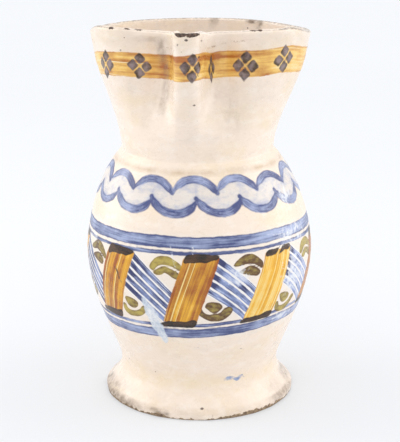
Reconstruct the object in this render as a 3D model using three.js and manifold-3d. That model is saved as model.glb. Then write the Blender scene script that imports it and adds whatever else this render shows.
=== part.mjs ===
// A thrown majolica jug: hollow, with a trefoil mouth, a round belly on a spreading foot and a strap handle,
// fired as one piece. Millimetres, +Z up. The origin is on the flat underside, on the jug's axis. The spout
// points along -Y and the handle along +Y.
import * as THREE from "three";
import { mergeVertices } from "three/addons/utils/BufferGeometryUtils.js";
import Module from "manifold-3d";

// The round profile, from the foot upwards. A height is measured from the underside, at the side of the jug.
const FOOT_RADIUS = 62.8;
const FOOT_EDGE_HEIGHT = 4.8;
const FOOT_EDGE_ROUNDING = 1.3;
const ANKLE_RADIUS = 52.1;
const ANKLE_HEIGHT = 22;
const BELLY_RADIUS = 74.2;
const BELLY_HEIGHT = 100;
const NECK_RADIUS = 49.3;
const NECK_HEIGHT = 165;
const COLLAR_RADIUS = 67;
const RIM_RADIUS = 70.6;
const RIM_HEIGHT = 240;
const COLLAR_DEPTH = 19; // how far the upright collar reaches down from the rim
const COLLAR_HEIGHT = RIM_HEIGHT - COLLAR_DEPTH;
const WALL = 5;
const FLOOR_THICKNESS = 9;

// The mouth. Its right half, seen from above, as [across, forward] from the jug's axis: the tip of the spout,
// the steep side of the spout, the pinch beside it, and the side of the mouth. The back is round.
const SPOUT_REACH = 66;
const MOUTH_RIGHT_HALF = [
  [4.3, SPOUT_REACH - 1],
  [7.4, SPOUT_REACH - 4],
  [8.9, SPOUT_REACH - 8.5],
  [9.8, SPOUT_REACH - 15],
  [11.2, SPOUT_REACH - 23],
  [14.6, SPOUT_REACH - 30],
  [21, SPOUT_REACH - 33],
  [31, 36.5],
  [44, 38.6],
  [57.5, 31],
  [67, 15],
];
const SPOUT_RISE = 6.2; // how much higher the rim stands at the spout's tip than at the sides
const PINCH_RISE = 3.2; // the same for the two pinches
const LOBE_RISE = 5.5; // for the two side lobes
const BACK_RISE = 0.5; // and for the back
const PINCH_START = NECK_HEIGHT + 3; // the height where the neck begins to leave the round
const PINCH_FULL = COLLAR_HEIGHT + 3; // the height from which it has the whole shape of the mouth

// The strap handle, on the jug's back
const HANDLE_TOP_HEIGHT = COLLAR_HEIGHT - 2;
const HANDLE_FOOT_HEIGHT = 124;
const HANDLE_REACH = 112; // from the jug's axis to the outside of the grip
const HANDLE_WIDTH = 27;
const HANDLE_THICKNESS = 11;
const HANDLE_TAPER = 0.82; // the foot's width and thickness as shares of the middle's
const HANDLE_FLARE = 1.22; // the same for the top, where the strap spreads over the neck

// How finely the solid is cut
const SEGMENTS = 72;
const SPOUT_CROWDING = 0.5; // segments at the spout are this share shorter than the average
const HANDLE_STEPS = 18;
const HANDLE_SIDES = 12;

// The unglazed clay and the cream glaze have one solid between them, so one colour stands for both.
const GLAZE = new THREE.MeshStandardMaterial({ color: 0xf3e6d8, roughness: 0.28, metalness: 0 });

// One smooth stretch of a profile. Its two handles are points, like its ends, as [radius, height].
function stretch(from, fromHandle, toHandle, to, steps) {
  const ends = [from, fromHandle, toHandle, to].map(([radius, height]) => new THREE.Vector2(radius, height));
  return new THREE.CubicBezierCurve(...ends).getPoints(steps);
}

// The outside of the round jug from the foot's top edge to the collar, as points of radius and height.
function outerSkin() {
  const bellyRise = BELLY_HEIGHT - ANKLE_HEIGHT;
  const shoulderRise = NECK_HEIGHT - BELLY_HEIGHT;
  const neckRise = COLLAR_HEIGHT - NECK_HEIGHT;
  const footTop = [FOOT_RADIUS - FOOT_EDGE_ROUNDING, FOOT_EDGE_HEIGHT];
  const footSpread = footTop[0] - ANKLE_RADIUS;
  const footRise = ANKLE_HEIGHT - FOOT_EDGE_HEIGHT;
  const ankle = [ANKLE_RADIUS, ANKLE_HEIGHT];
  const belly = [BELLY_RADIUS, BELLY_HEIGHT];
  const neck = [NECK_RADIUS, NECK_HEIGHT];
  const collar = [COLLAR_RADIUS, COLLAR_HEIGHT];
  const foot = stretch(
    footTop,
    [footTop[0] - 0.75 * footSpread, FOOT_EDGE_HEIGHT + 0.48 * footRise],
    [ANKLE_RADIUS, ANKLE_HEIGHT - 0.42 * footRise],
    ankle,
    4,
  );
  const lowerBelly = stretch(
    ankle,
    [ANKLE_RADIUS, ANKLE_HEIGHT + 0.156 * bellyRise],
    [BELLY_RADIUS, BELLY_HEIGHT - 0.464 * bellyRise],
    belly,
    7,
  );
  const shoulder = stretch(
    belly,
    [BELLY_RADIUS, BELLY_HEIGHT + 0.05 * shoulderRise],
    [NECK_RADIUS + 0.9 * (BELLY_RADIUS - NECK_RADIUS), NECK_HEIGHT - 0.37 * shoulderRise],
    neck,
    7,
  );
  const neckFlare = stretch(
    neck,
    [NECK_RADIUS, NECK_HEIGHT + 0.29 * neckRise],
    [COLLAR_RADIUS - 0.27 * (COLLAR_RADIUS - NECK_RADIUS), COLLAR_HEIGHT - 0.31 * neckRise],
    collar,
    7,
  );
  return [...foot, ...lowerBelly.slice(1), ...shoulder.slice(1), ...neckFlare.slice(1)];
}

const SKIN = outerSkin();

// The outer radius of the round jug at a height from the foot's top edge to the rim.
function outerRadius(height) {
  const points = [...SKIN, new THREE.Vector2(RIM_RADIUS, RIM_HEIGHT)];
  const next = Math.max(1, points.findIndex((point) => point.y >= height));
  const [below, above] = [points[next - 1], points[next]];
  return THREE.MathUtils.mapLinear(height, below.y, above.y, below.x, above.x);
}

// The same skin moved into the clay by the wall's thickness, from the ankle up to the collar.
function innerSkin() {
  const wallUp = SKIN.filter((point) => point.y >= ANKLE_HEIGHT);
  return wallUp.map((point, i) => {
    const before = wallUp[Math.max(0, i - 1)];
    const after = wallUp[Math.min(wallUp.length - 1, i + 1)];
    const along = after.clone().sub(before).normalize();
    return new THREE.Vector2(point.x - WALL * along.y, point.y + WALL * along.x);
  });
}

// The whole section of the round jug: up the outside, over the lip, down the inside and across the floor.
function section() {
  const lipRadius = WALL / 2;
  const lipCentre = new THREE.Vector2(outerRadius(RIM_HEIGHT - lipRadius) - lipRadius, RIM_HEIGHT - lipRadius);
  const lip = new THREE.EllipseCurve(lipCentre.x, lipCentre.y, lipRadius, lipRadius, 0, Math.PI).getPoints(4);
  const edge = FOOT_EDGE_ROUNDING;
  const underside = [
    new THREE.Vector2(0, 0),
    new THREE.Vector2(FOOT_RADIUS - edge, 0),
    new THREE.Vector2(FOOT_RADIUS, edge),
    new THREE.Vector2(FOOT_RADIUS, FOOT_EDGE_HEIGHT - edge),
  ];
  const collarMiddle = (COLLAR_HEIGHT + RIM_HEIGHT) / 2;
  const upperInside = new THREE.Vector2(outerRadius(collarMiddle) - WALL, collarMiddle);
  const inside = innerSkin().reverse();
  const lowest = inside[inside.length - 1];
  const floorRound = stretch(
    [lowest.x, lowest.y],
    [lowest.x, FLOOR_THICKNESS + 0.4 * (lowest.y - FLOOR_THICKNESS)],
    [0.92 * lowest.x, FLOOR_THICKNESS],
    [0.75 * lowest.x, FLOOR_THICKNESS],
    4,
  ).slice(1);
  const upperOutside = new THREE.Vector2(outerRadius(collarMiddle), collarMiddle);
  return [
    ...underside,
    ...SKIN,
    upperOutside,
    ...lip,
    upperInside,
    ...inside,
    ...floorRound,
    new THREE.Vector2(0, FLOOR_THICKNESS),
  ];
}

// The mouth's outline, as points across and forward, starting at the spout's tip and going round to the right.
// They stand closest together at the spout.
function mouthOutline() {
  const backAzimuths = [92, 112, 135, 158];
  const roundBack = backAzimuths.map((degrees) => {
    const azimuth = THREE.MathUtils.degToRad(degrees);
    return [RIM_RADIUS * Math.sin(azimuth), RIM_RADIUS * Math.cos(azimuth)];
  });
  const rightHalf = [...MOUTH_RIGHT_HALF, ...roundBack];
  const leftHalf = rightHalf.map(([across, forward]) => [-across, forward]).reverse();
  const control = [[0, SPOUT_REACH], ...rightHalf, [0, -RIM_RADIUS], ...leftHalf];
  const curve = new THREE.CatmullRomCurve3(
    control.map(([across, forward]) => new THREE.Vector3(across, forward, 0)),
    true,
    "centripetal",
  );
  curve.arcLengthDivisions = 2000;
  return Array.from({ length: SEGMENTS }, (_, i) => {
    const turn = (2 * Math.PI * i) / SEGMENTS;
    return curve.getPointAt((turn - SPOUT_CROWDING * Math.sin(turn)) / (2 * Math.PI));
  });
}

const MOUTH = mouthOutline();
const AZIMUTHS = MOUTH.map((point) => Math.atan2(point.x, point.y));

// How much higher than at the sides the rim stands in a direction, the spout's being 0.
function rimRise(azimuth) {
  const forward = Math.cos(azimuth);
  if (forward < 0) {
    return BACK_RISE * THREE.MathUtils.smoothstep(-forward, 0, 1);
  }
  const degrees = Math.abs(THREE.MathUtils.radToDeg(azimuth));
  const pinch = THREE.MathUtils.lerp(SPOUT_RISE, PINCH_RISE, THREE.MathUtils.smoothstep(degrees, 8, 18));
  const front = THREE.MathUtils.lerp(pinch, LOBE_RISE, THREE.MathUtils.smoothstep(degrees, 30, 50));
  return front * THREE.MathUtils.smoothstep(forward, 0, 0.45);
}

// The ring of points that a point of the section makes: a circle below the pinch, and above it an outline
// that goes over to the mouth's, with the point's own depth in the wall kept.
function ring(radius, height) {
  if (height <= NECK_HEIGHT) {
    return AZIMUTHS.map((azimuth) => {
      return new THREE.Vector3(radius * Math.sin(azimuth), -radius * Math.cos(azimuth), height);
    });
  }
  const skin = outerRadius(height);
  const depthInWall = skin - radius;
  const pinched = THREE.MathUtils.smoothstep(height, PINCH_START, PINCH_FULL);
  const riseShare = (height - NECK_HEIGHT) / (RIM_HEIGHT - NECK_HEIGHT);
  const outline = AZIMUTHS.map((azimuth, i) => {
    const round = new THREE.Vector2(skin * Math.sin(azimuth), skin * Math.cos(azimuth));
    const mouth = new THREE.Vector2(MOUTH[i].x, MOUTH[i].y).multiplyScalar(skin / RIM_RADIUS);
    return round.lerp(mouth, pinched);
  });
  return outline.map((point, i) => {
    const along = outline[(i + 1) % SEGMENTS].clone().sub(outline[(i + SEGMENTS - 1) % SEGMENTS]).normalize();
    const inward = new THREE.Vector2(along.y, -along.x);
    const moved = point.clone().addScaledVector(inward, depthInWall);
    return new THREE.Vector3(moved.x, -moved.y, height + rimRise(AZIMUTHS[i]) * riseShare);
  });
}

// The thrown body with its pinched mouth, without the handle.
function bodyGeometry() {
  const points = section();
  const rings = points.map((point) => ring(point.x, point.y));
  const lathe = new THREE.LatheGeometry(points, SEGMENTS);
  const position = lathe.getAttribute("position");
  for (let v = 0; v < position.count; v += 1) {
    const column = Math.floor(v / points.length) % SEGMENTS;
    const { x, y, z } = rings[v % points.length][column];
    position.setXYZ(v, x, y, z);
  }
  return lathe;
}

// The height and distance from the axis of the middle of the jug's wall at the back.
function backWallMiddle(height) {
  return new THREE.Vector3(0, outerRadius(height) - WALL / 2, height);
}

// The handle's centre line: out of the neck, over and down to the belly's shoulder.
function handlePath() {
  const top = backWallMiddle(HANDLE_TOP_HEIGHT);
  const foot = backWallMiddle(HANDLE_FOOT_HEIGHT);
  const drop = HANDLE_TOP_HEIGHT - HANDLE_FOOT_HEIGHT;
  const grip = HANDLE_REACH - HANDLE_THICKNESS / 2;
  return new THREE.CatmullRomCurve3(
    [
      top,
      new THREE.Vector3(0, top.y + 0.45 * (grip - top.y), top.z + 0.055 * drop),
      new THREE.Vector3(0, top.y + 0.86 * (grip - top.y), top.z - 0.05 * drop),
      new THREE.Vector3(0, grip, top.z - 0.31 * drop),
      new THREE.Vector3(0, grip - 0.13 * (grip - foot.y), top.z - 0.62 * drop),
      new THREE.Vector3(0, grip - 0.5 * (grip - foot.y), top.z - 0.86 * drop),
      foot,
    ],
    false,
    "centripetal",
  );
}

// The strap: a closed tube of flattened section, bent along the path and narrowed towards its foot.
function handleGeometry() {
  const path = handlePath();
  const tube = new THREE.CylinderGeometry(1, 1, 1, HANDLE_SIDES, HANDLE_STEPS);
  const position = tube.getAttribute("position");
  const across = new THREE.Vector3(1, 0, 0);
  for (let v = 0; v < position.count; v += 1) {
    const share = THREE.MathUtils.clamp(0.5 - position.getY(v), 0, 1);
    const outward = new THREE.Vector3().crossVectors(path.getTangentAt(share), across).normalize();
    const flare = THREE.MathUtils.lerp(HANDLE_FLARE, 1, THREE.MathUtils.smoothstep(share, 0, 0.25));
    const taper = THREE.MathUtils.lerp(1, HANDLE_TAPER, THREE.MathUtils.smoothstep(share, 0.35, 1));
    const size = flare * taper;
    const point = path
      .getPointAt(share)
      .addScaledVector(across, (position.getX(v) * size * HANDLE_WIDTH) / 2)
      .addScaledVector(outward, (position.getZ(v) * taper * HANDLE_THICKNESS) / 2);
    position.setXYZ(v, point.x, point.y, point.z);
  }
  return tube;
}

const wasm = await Module();
wasm.setup();

// A closed geometry as a solid, its faces pointing out.
function solidOf(geometry) {
  geometry.deleteAttribute("normal");
  geometry.deleteAttribute("uv");
  const merged = mergeVertices(geometry, 1e-4);
  const triVerts = new Uint32Array(merged.index.array);
  const vertProperties = merged.getAttribute("position").array;
  return new wasm.Manifold(new wasm.Mesh({ numProp: 3, vertProperties, triVerts }));
}

// A solid as a geometry for a mesh.
function geometryOf(solid) {
  const { vertProperties, triVerts } = solid.getMesh();
  const geometry = new THREE.BufferGeometry();
  geometry.setAttribute("position", new THREE.BufferAttribute(vertProperties, 3));
  geometry.setIndex(new THREE.BufferAttribute(triVerts, 1));
  geometry.computeVertexNormals();
  return geometry;
}

const jug = new THREE.Mesh(geometryOf(solidOf(bodyGeometry()).add(solidOf(handleGeometry()))), GLAZE);
jug.name = "jug";

const object = new THREE.Group();
object.add(jug);

export default object;
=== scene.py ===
"""The looks of a hand-painted majolica jug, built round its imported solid.

Lengths in this file are millimetres until a mesh is made. A place on the jug is given as a turn, in degrees
round the axis from the spout (positive towards +X), and a level, the height on the round thrown form.
"""

import logging
import math
from dataclasses import dataclass, field
from enum import Enum, IntEnum

import bpy
import numpy as np
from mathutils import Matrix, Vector, kdtree

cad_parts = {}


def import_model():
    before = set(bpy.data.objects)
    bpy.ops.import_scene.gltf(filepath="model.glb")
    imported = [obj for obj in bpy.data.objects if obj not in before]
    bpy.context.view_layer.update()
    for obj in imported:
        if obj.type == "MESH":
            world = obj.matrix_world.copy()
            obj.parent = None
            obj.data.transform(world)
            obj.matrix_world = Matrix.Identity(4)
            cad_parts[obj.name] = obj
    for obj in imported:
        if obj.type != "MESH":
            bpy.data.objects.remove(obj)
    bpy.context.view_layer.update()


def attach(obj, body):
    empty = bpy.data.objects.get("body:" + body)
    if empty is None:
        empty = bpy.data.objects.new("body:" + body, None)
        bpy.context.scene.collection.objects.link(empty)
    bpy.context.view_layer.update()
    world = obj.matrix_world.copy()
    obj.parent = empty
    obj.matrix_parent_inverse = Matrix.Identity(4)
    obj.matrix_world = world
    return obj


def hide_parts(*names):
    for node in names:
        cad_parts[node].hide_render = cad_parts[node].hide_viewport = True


LOG = logging.getLogger("majolica_jug")
MM = 0.001
DEGREE = math.radians(1.0)
UNPAINTED = -4.0  # the depth, in millimetres, of a place that no brush came near
DEEPEST = 6.0  # depths are cut off here, well past what any stroke's edge needs
LIP_TOP = 240.9  # the level at which the levels counted on over the lip turn down the inside

Pair = tuple[float, float]
Place = tuple[float, float, float]
Path = tuple[Pair, ...]
Spot = tuple[float, float, float, float]
Fields = dict[str, np.ndarray]
Socket = bpy.types.NodeSocket
Feed = Socket | float | tuple[float, ...]


class Side(IntEnum):
    """The parts of the jug's surface."""

    OUTSIDE = 1
    LIP = 2
    INSIDE = 3
    UNDERSIDE = 4
    HANDLE = 5


def smoothstep(value: np.ndarray | float, low: float, high: float) -> np.ndarray:
    """Goes smoothly from 0 at low to 1 at high.

    Args:
        value: the numbers to grade.
        low: where the result leaves 0.
        high: where it reaches 1.

    Returns:
        The graded numbers.
    """
    share = np.clip((np.asarray(value, float) - low) / (high - low), 0.0, 1.0)
    return share * share * (3.0 - 2.0 * share)


def wrapped(turn: np.ndarray | float) -> np.ndarray:
    """Brings angles in degrees into the range from -180 to 180."""
    return (np.asarray(turn, float) + 180.0) % 360.0 - 180.0


def hump(value: np.ndarray, reach: float, power: int = 2) -> np.ndarray:
    """Falls from 1 at 0 to nothing beyond a reach: softly by a power of 2, from a plateau by one of 4."""
    return np.exp(-((value / reach) ** power))


def ripple(turn: np.ndarray, count: float, shift: float = 0.0) -> np.ndarray:
    """Waves between -1 and 1 a number of times round the jug, shifted by some degrees."""
    return np.sin(np.radians(turn * count + shift))


def bezier(points: list[Pair] | list[np.ndarray], steps: int) -> np.ndarray:
    """Samples one cubic stretch.

    Args:
        points: its start, two handles and end.
        steps: how many pieces it is cut into.

    Returns:
        The sampled points, ends included.
    """
    a, b, c, d = (np.array(point, float) for point in points)
    t = np.linspace(0.0, 1.0, steps + 1)[:, None]
    return (1 - t) ** 3 * a + 3 * (1 - t) ** 2 * t * b + 3 * (1 - t) * t**2 * c + t**3 * d


def rounded_curve(points: np.ndarray, samples: int, closed: bool) -> np.ndarray:
    """Runs a centripetal Catmull-Rom curve through points.

    Args:
        points: the points it passes, of any dimension.
        samples: how many samples each span gets.
        closed: whether the last point joins the first.

    Returns:
        The samples. An open curve includes its last point.
    """
    count = len(points)
    if closed:
        ring = [points[i % count] for i in range(-1, count + 2)]
    else:
        ring = [2 * points[0] - points[1], *points, 2 * points[-1] - points[-2]]
    spans = []
    t = np.linspace(0.0, 1.0, samples, endpoint=False)[:, None]
    for p0, p1, p2, p3 in zip(ring, ring[1:], ring[2:], ring[3:]):
        d0, d1, d2 = (math.sqrt(np.linalg.norm(b - a)) for a, b in ((p0, p1), (p1, p2), (p2, p3)))
        leave = ((p1 - p0) / d0 - (p2 - p0) / (d0 + d1) + (p2 - p1) / d1) * d1
        arrive = ((p2 - p1) / d1 - (p3 - p1) / (d1 + d2) + (p3 - p2) / d2) * d1
        square = -3 * p1 + 3 * p2 - 2 * leave - arrive
        cube = 2 * p1 - 2 * p2 + leave + arrive
        spans.append(p1 + leave * t + square * t**2 + cube * t**3)
    if not closed:
        spans.append(np.array([points[-1]]))
    return np.concatenate(spans)


def lengths_along(points: np.ndarray) -> np.ndarray:
    """Gives the distance along a line of points, from the first to each."""
    return np.concatenate([[0.0], np.cumsum(np.linalg.norm(np.diff(points, axis=0), axis=1))])


def resampled(points: np.ndarray, spacing: float) -> np.ndarray:
    """Places points at even distances along a line.

    Args:
        points: the line.
        spacing: the distance to come near to.

    Returns:
        The new points, with the line's own ends.
    """
    along = lengths_along(points)
    wanted = np.linspace(0.0, along[-1], max(2, round(along[-1] / spacing) + 1))
    return np.stack([np.interp(wanted, along, points[:, i]) for i in range(points.shape[1])], axis=1)


@dataclass(frozen=True)
class Section:
    """The round thrown form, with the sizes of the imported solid."""

    foot_radius: float = 62.8
    foot_edge_height: float = 4.8
    edge_rounding: float = 1.3
    ankle: Pair = (52.1, 22.0)
    belly: Pair = (74.2, 100.0)
    neck: Pair = (49.3, 165.0)
    collar: Pair = (67.0, 221.0)
    rim: Pair = (70.6, 240.0)
    wall: float = 5.0
    floor: float = 9.0
    lip_rounding: float = 1.7
    # How each stretch leaves its lower joint and arrives at its upper one, as shares across and up.
    bows: tuple[tuple[Pair, Pair], ...] = (
        ((0.75, 0.48), (0.0, 0.42)), ((0.0, 0.156), (0.0, 0.464)), ((0.0, 0.05), (0.9, 0.37)),
        ((0.0, 0.29), (0.27, 0.31)),
    )
    outer: np.ndarray = field(init=False, repr=False)

    def __post_init__(self) -> None:
        """Works out the outer skin once."""
        object.__setattr__(self, "outer", self._outer_skin())

    def _outer_skin(self) -> np.ndarray:
        """Draws the outside from the foot's top edge to the rim.

        Returns:
            Points of radius and height, rising.
        """
        top = (self.foot_radius - self.edge_rounding, self.foot_edge_height)
        joints = np.array([top, self.ankle, self.belly, self.neck, self.collar])
        drawn = [
            bezier([low, low + leave * (high - low), high - arrive * (high - low), high], 60)[1:]
            for low, high, (leave, arrive) in zip(joints, joints[1:], np.array(self.bows))
        ]
        return np.concatenate([[top], *drawn, [self.rim]])

    def radius(self, level: np.ndarray | float) -> np.ndarray:
        """Gives the outer radius at a level."""
        return np.interp(level, self.outer[:, 1], self.outer[:, 0])

    def climb(self, level: np.ndarray | float) -> np.ndarray:
        """Gives the distance along the skin from the foot's top edge up to a level."""
        return np.interp(level, self.outer[:, 1], lengths_along(self.outer))


@dataclass(frozen=True)
class Mouth:
    """The pinched trefoil mouth, which the neck goes over to from the round."""

    reach: float = 66.0
    back_radius: float = 70.6
    pinch_start: float = 168.0
    pinch_full: float = 224.0
    tip_rise: float = 6.2
    pinch_rise: float = 3.2
    lobe_rise: float = 5.5
    back_rise: float = 0.5
    right_lift: float = 1.5
    crowding: float = 0.35
    outline: np.ndarray = field(init=False, repr=False)

    def __post_init__(self) -> None:
        """Works out the outline once."""
        object.__setattr__(self, "outline", self._outline())

    def _outline(self) -> np.ndarray:
        """Draws the outside of the mouth, seen from above.

        Returns:
            Points of across and forward, from the spout's tip round to the right and back to it.
        """
        tip = self.reach
        right = [
            (4.3, tip - 1), (7.4, tip - 4), (8.9, tip - 8.5), (9.8, tip - 15), (11.2, tip - 23),
            (14.6, tip - 30), (21, tip - 33), (31, 36.5), (44, 38.6), (57.5, 31), (67, 15),
        ]
        behind = self.back_radius
        round_back = [math.radians(turn) for turn in (92, 112, 135, 158)]
        back = [(behind * math.sin(turn), behind * math.cos(turn)) for turn in round_back]
        left = [(-across, forward) for across, forward in reversed(right + back)]
        control = np.array([(0.0, tip), *right, *back, (0.0, -behind), *left], float)
        curve = rounded_curve(control, 60, closed=True)
        return np.concatenate([curve, curve[:1]])

    def columns(self, count: int) -> tuple[np.ndarray, np.ndarray]:
        """Spreads columns round the mouth, closest together at the spout.

        Args:
            count: how many columns there are.

        Returns:
            Their points on the outline, and their distances along it.
        """
        along = lengths_along(self.outline)
        turn = 2.0 * math.pi * np.arange(count) / count
        wanted = along[-1] * (turn - self.crowding * np.sin(turn)) / (2.0 * math.pi)
        points = np.stack([np.interp(wanted, along, self.outline[:, i]) for i in (0, 1)], axis=1)
        return points, wanted

    def girth_at(self, turn: float) -> float:
        """Gives the signed distance along the outline from the spout's tip to a turn in degrees."""
        along = lengths_along(self.outline)
        turns = np.unwrap(np.arctan2(self.outline[:, 0], self.outline[:, 1]))
        found = float(np.interp(math.radians(turn % 360.0), np.maximum.accumulate(turns), along))
        return found if found <= along[-1] / 2 else found - float(along[-1])

    def rise(self, turn: np.ndarray) -> np.ndarray:
        """Gives how much higher than at the sides the rim stands at a turn in degrees."""
        forward = np.cos(np.radians(turn))
        pinch = self.tip_rise + (self.pinch_rise - self.tip_rise) * smoothstep(np.abs(turn), 8.0, 18.0)
        lobe = pinch + (self.lobe_rise - pinch) * smoothstep(np.abs(turn), 30.0, 50.0)
        back = self.back_rise * smoothstep(-forward, 0.0, 1.0)
        # The rim isn't quite level: its right end is drawn up, and the rim behind that end sags.
        lift = hump(turn - 86.0, 22.0) - 0.6 * hump(turn - 130.0, 24.0)
        return np.where(forward > 0.0, lobe * smoothstep(forward, 0.0, 0.45), back) + self.right_lift * lift


@dataclass
class Skin:
    """A mesh in the making, with the place of each of its points on the jug."""

    points: np.ndarray
    faces: list[tuple[int, ...]]
    turn: np.ndarray
    level: np.ndarray
    girth: np.ndarray
    side: np.ndarray

    def to_object(self, name: str) -> bpy.types.Object:
        """Makes a Blender object of the mesh.

        Args:
            name: the object's name.

        Returns:
            The object, linked to the scene.
        """
        mesh = bpy.data.meshes.new(name)
        mesh.from_pydata((self.points * MM).tolist(), [], self.faces)
        piece = bpy.data.objects.new(name, mesh)
        bpy.context.scene.collection.objects.link(piece)
        return piece


@dataclass(frozen=True)
class Chip:
    """A place where the glaze, or a crumb of clay with it, has broken off the lip."""

    turn: float
    width: float
    depth: float
    level: float = 239.2


@dataclass(frozen=True)
class ThrownBody:
    """The thrown, pinched and hollow body, without its handle."""

    section: Section
    mouth: Mouth
    columns: int = 384
    throwing_ridge: float = 0.07
    throwing_pitch: float = 7.4
    out_of_round: float = 0.22
    lean: float = 1.1
    lean_level: float = 168.0
    lean_reach: float = 34.0
    row_limits: tuple[float, ...] = (22.0, 50.0, 128.0, 159.0, 172.0, 210.0)
    row_spacings: tuple[float, ...] = (1.4, 2.2, 1.12, 1.05, 0.9, 2.4, 1.12)
    chipped_from: float = 236.0
    scuffed_up_to: float = 4.0
    chips: tuple[Chip, ...] = (
        Chip(-2.3, 8.4, 0.7, 239.5), Chip(4.0, 8.8, 0.6, 239.2), Chip(-54.0, 3.4, 0.3, 240.0),
        Chip(-45.5, 1.4, 0.2, 240.2), Chip(-41.0, 2.4, 0.2, 240.2), Chip(44.4, 2.2, 0.2, 240.4),
        Chip(47.4, 1.6, 0.2, 240.4), Chip(-118.0, 3.0, 0.4, 240.0),
    )

    def rows(self) -> list[tuple[np.ndarray, Side]]:
        """Cuts the whole section into rows, finest where the painting is.

        Returns:
            Lines of radius and height with the side they lie on, from the underside's middle, up the outside,
            over the lip, and down the inside to the floor's middle.
        """
        form = self.section
        edge = form.edge_rounding
        foot = form.foot_radius
        underside = np.array([(r, 0.0) for r in (0.0, 20.0, 40.0, 54.0, foot - edge - 1.5, foot - edge)])
        bottom, top = edge, form.foot_edge_height - edge
        bend = np.linspace(0.4, math.pi / 2, 4)
        corner = [(foot - edge + edge * math.sin(a), bottom - edge * math.cos(a)) for a in bend]
        shoulder = [(foot - edge + edge * math.cos(a), top + edge * math.sin(a)) for a in (0.0, 0.5, 1.0)]
        foot_edge = resampled(np.array([*corner, *shoulder]), 1.1)
        rim_edge = form.rim[1] - form.lip_rounding
        walls = []
        limits = (form.foot_edge_height, *self.row_limits, rim_edge)
        for low, high, spacing in zip(limits, limits[1:], self.row_spacings):
            inside = form.outer[(form.outer[:, 1] > low) & (form.outer[:, 1] < high)]
            ends = [(float(form.radius(level)), level) for level in (low, high)]
            walls.append(resampled(np.array([ends[0], *inside, ends[1]]), spacing)[1:])
        half = form.wall / 2
        centre = float(form.radius(rim_edge)) - half
        bend = np.linspace(0.12, math.pi, 10)
        lip = np.stack([centre + half * np.cos(bend), rim_edge + form.lip_rounding * np.sin(bend)], axis=1)
        upper = form.outer[form.outer[:, 1] >= form.ankle[1]]
        along = np.gradient(upper, axis=0)
        along /= np.linalg.norm(along, axis=1)[:, None]
        inner = upper + form.wall * np.stack([-along[:, 1], along[:, 0]], axis=1)
        inner = inner[inner[:, 1] < form.rim[1] - half - 1.0][::-1]
        inner = np.concatenate([[(centre - half, rim_edge - 1.2)], inner])
        low_radius, low_height = inner[-1]
        bend = (low_radius, form.floor + 0.4 * (low_height - form.floor))
        flat = [(share * low_radius, form.floor) for share in (0.92, 0.75, 0.5, 0.2, 0.0)]
        bottom = bezier([(low_radius, low_height), bend, *flat[:2]], 6)[1:]
        floor = np.array(flat[2:])
        return [
            (underside, Side.UNDERSIDE),
            (foot_edge, Side.OUTSIDE),
            (np.concatenate(walls), Side.OUTSIDE),
            (lip, Side.LIP),
            (np.concatenate([resampled(inner, 5.0), bottom, floor]), Side.INSIDE),
        ]

    def ring(self, radius: float, level: float, places: np.ndarray) -> np.ndarray:
        """Makes the ring of points of one point of the section.

        Args:
            radius: the point's distance from the axis on the round form.
            level: its height there.
            places: the mouth outline's points of the columns.

        Returns:
            One point for each column.
        """
        turns = np.arctan2(places[:, 0], places[:, 1])
        around = np.stack([np.sin(turns), np.cos(turns)], axis=1)
        if level <= self.section.neck[1]:
            flat = radius * around
            height = np.full(len(turns), level)
        else:
            skin = float(self.section.radius(level))
            pinched = float(smoothstep(level, self.mouth.pinch_start, self.mouth.pinch_full))
            outline = (1 - pinched) * skin * around + pinched * places * skin / self.section.rim[0]
            along = np.roll(outline, -1, axis=0) - np.roll(outline, 1, axis=0)
            along /= np.linalg.norm(along, axis=1)[:, None]
            flat = outline + (skin - radius) * np.stack([along[:, 1], -along[:, 0]], axis=1)
            share = (level - self.section.neck[1]) / (self.section.rim[1] - self.section.neck[1])
            height = level + self.mouth.rise(np.degrees(turns)) * share
        return np.stack([flat[:, 0], -flat[:, 1], height], axis=1)

    def hand_made(self, ring: np.ndarray, level: float, side: Side) -> np.ndarray:
        """Adds what the potter's hands and long use left: ridges, a slight lean, chips and worn edges.

        Args:
            ring: the ring's points on the true form.
            level: their level.
            side: the side that the ring lies on.

        Returns:
            The moved points.
        """
        if side == Side.UNDERSIDE:
            return ring
        turns = np.arctan2(ring[:, 0], -ring[:, 1])
        degrees = np.degrees(turns)
        upright = smoothstep(level, 24.0, 60.0)
        spiral = 2 * math.pi * level / self.throwing_pitch + 1.4 * math.sin(level / 19.0) + turns
        ridge = self.throwing_ridge * np.sin(spiral)
        wave = self.out_of_round * (np.sin(2 * turns + 0.9 + level / 90.0) + 0.6 * np.sin(3 * turns + 2.0))
        inward = upright * (ridge + wave - self.out_of_round)
        if side == Side.LIP or (side == Side.OUTSIDE and level > self.chipped_from):
            for chip in self.chips:
                near = hump(wrapped(degrees - chip.turn), 0.5 * chip.width, 4)
                rough = 0.75 + 0.25 * np.sin(degrees * 5.1 + chip.turn)
                inward = inward - chip.depth * near * rough
        if side == Side.OUTSIDE and level < self.scuffed_up_to:
            scuff = 1 + np.sin(7 * turns) * np.sin(17 * turns + 1.0)
            inward = inward - 0.28 * scuff * (1 - level / self.scuffed_up_to)
        radial = np.stack([np.sin(turns), -np.cos(turns), np.zeros(len(turns))], axis=1)
        moved = ring + inward[:, None] * radial
        if side == Side.LIP:
            dents = sum(c.depth * hump(wrapped(degrees - c.turn), 0.4 * c.width, 4) for c in self.chips)
            moved[:, 2] -= 0.6 * dents * smoothstep(level, 238.4, 239.8)
        moved[:, 2] += 0.2 * (np.sin(3 * turns + 0.7) - 1) * smoothstep(level, 215.0, 238.0)
        moved[:, 0] -= self.lean * math.exp(-(((level - self.lean_level) / self.lean_reach) ** 2))
        return moved

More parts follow.
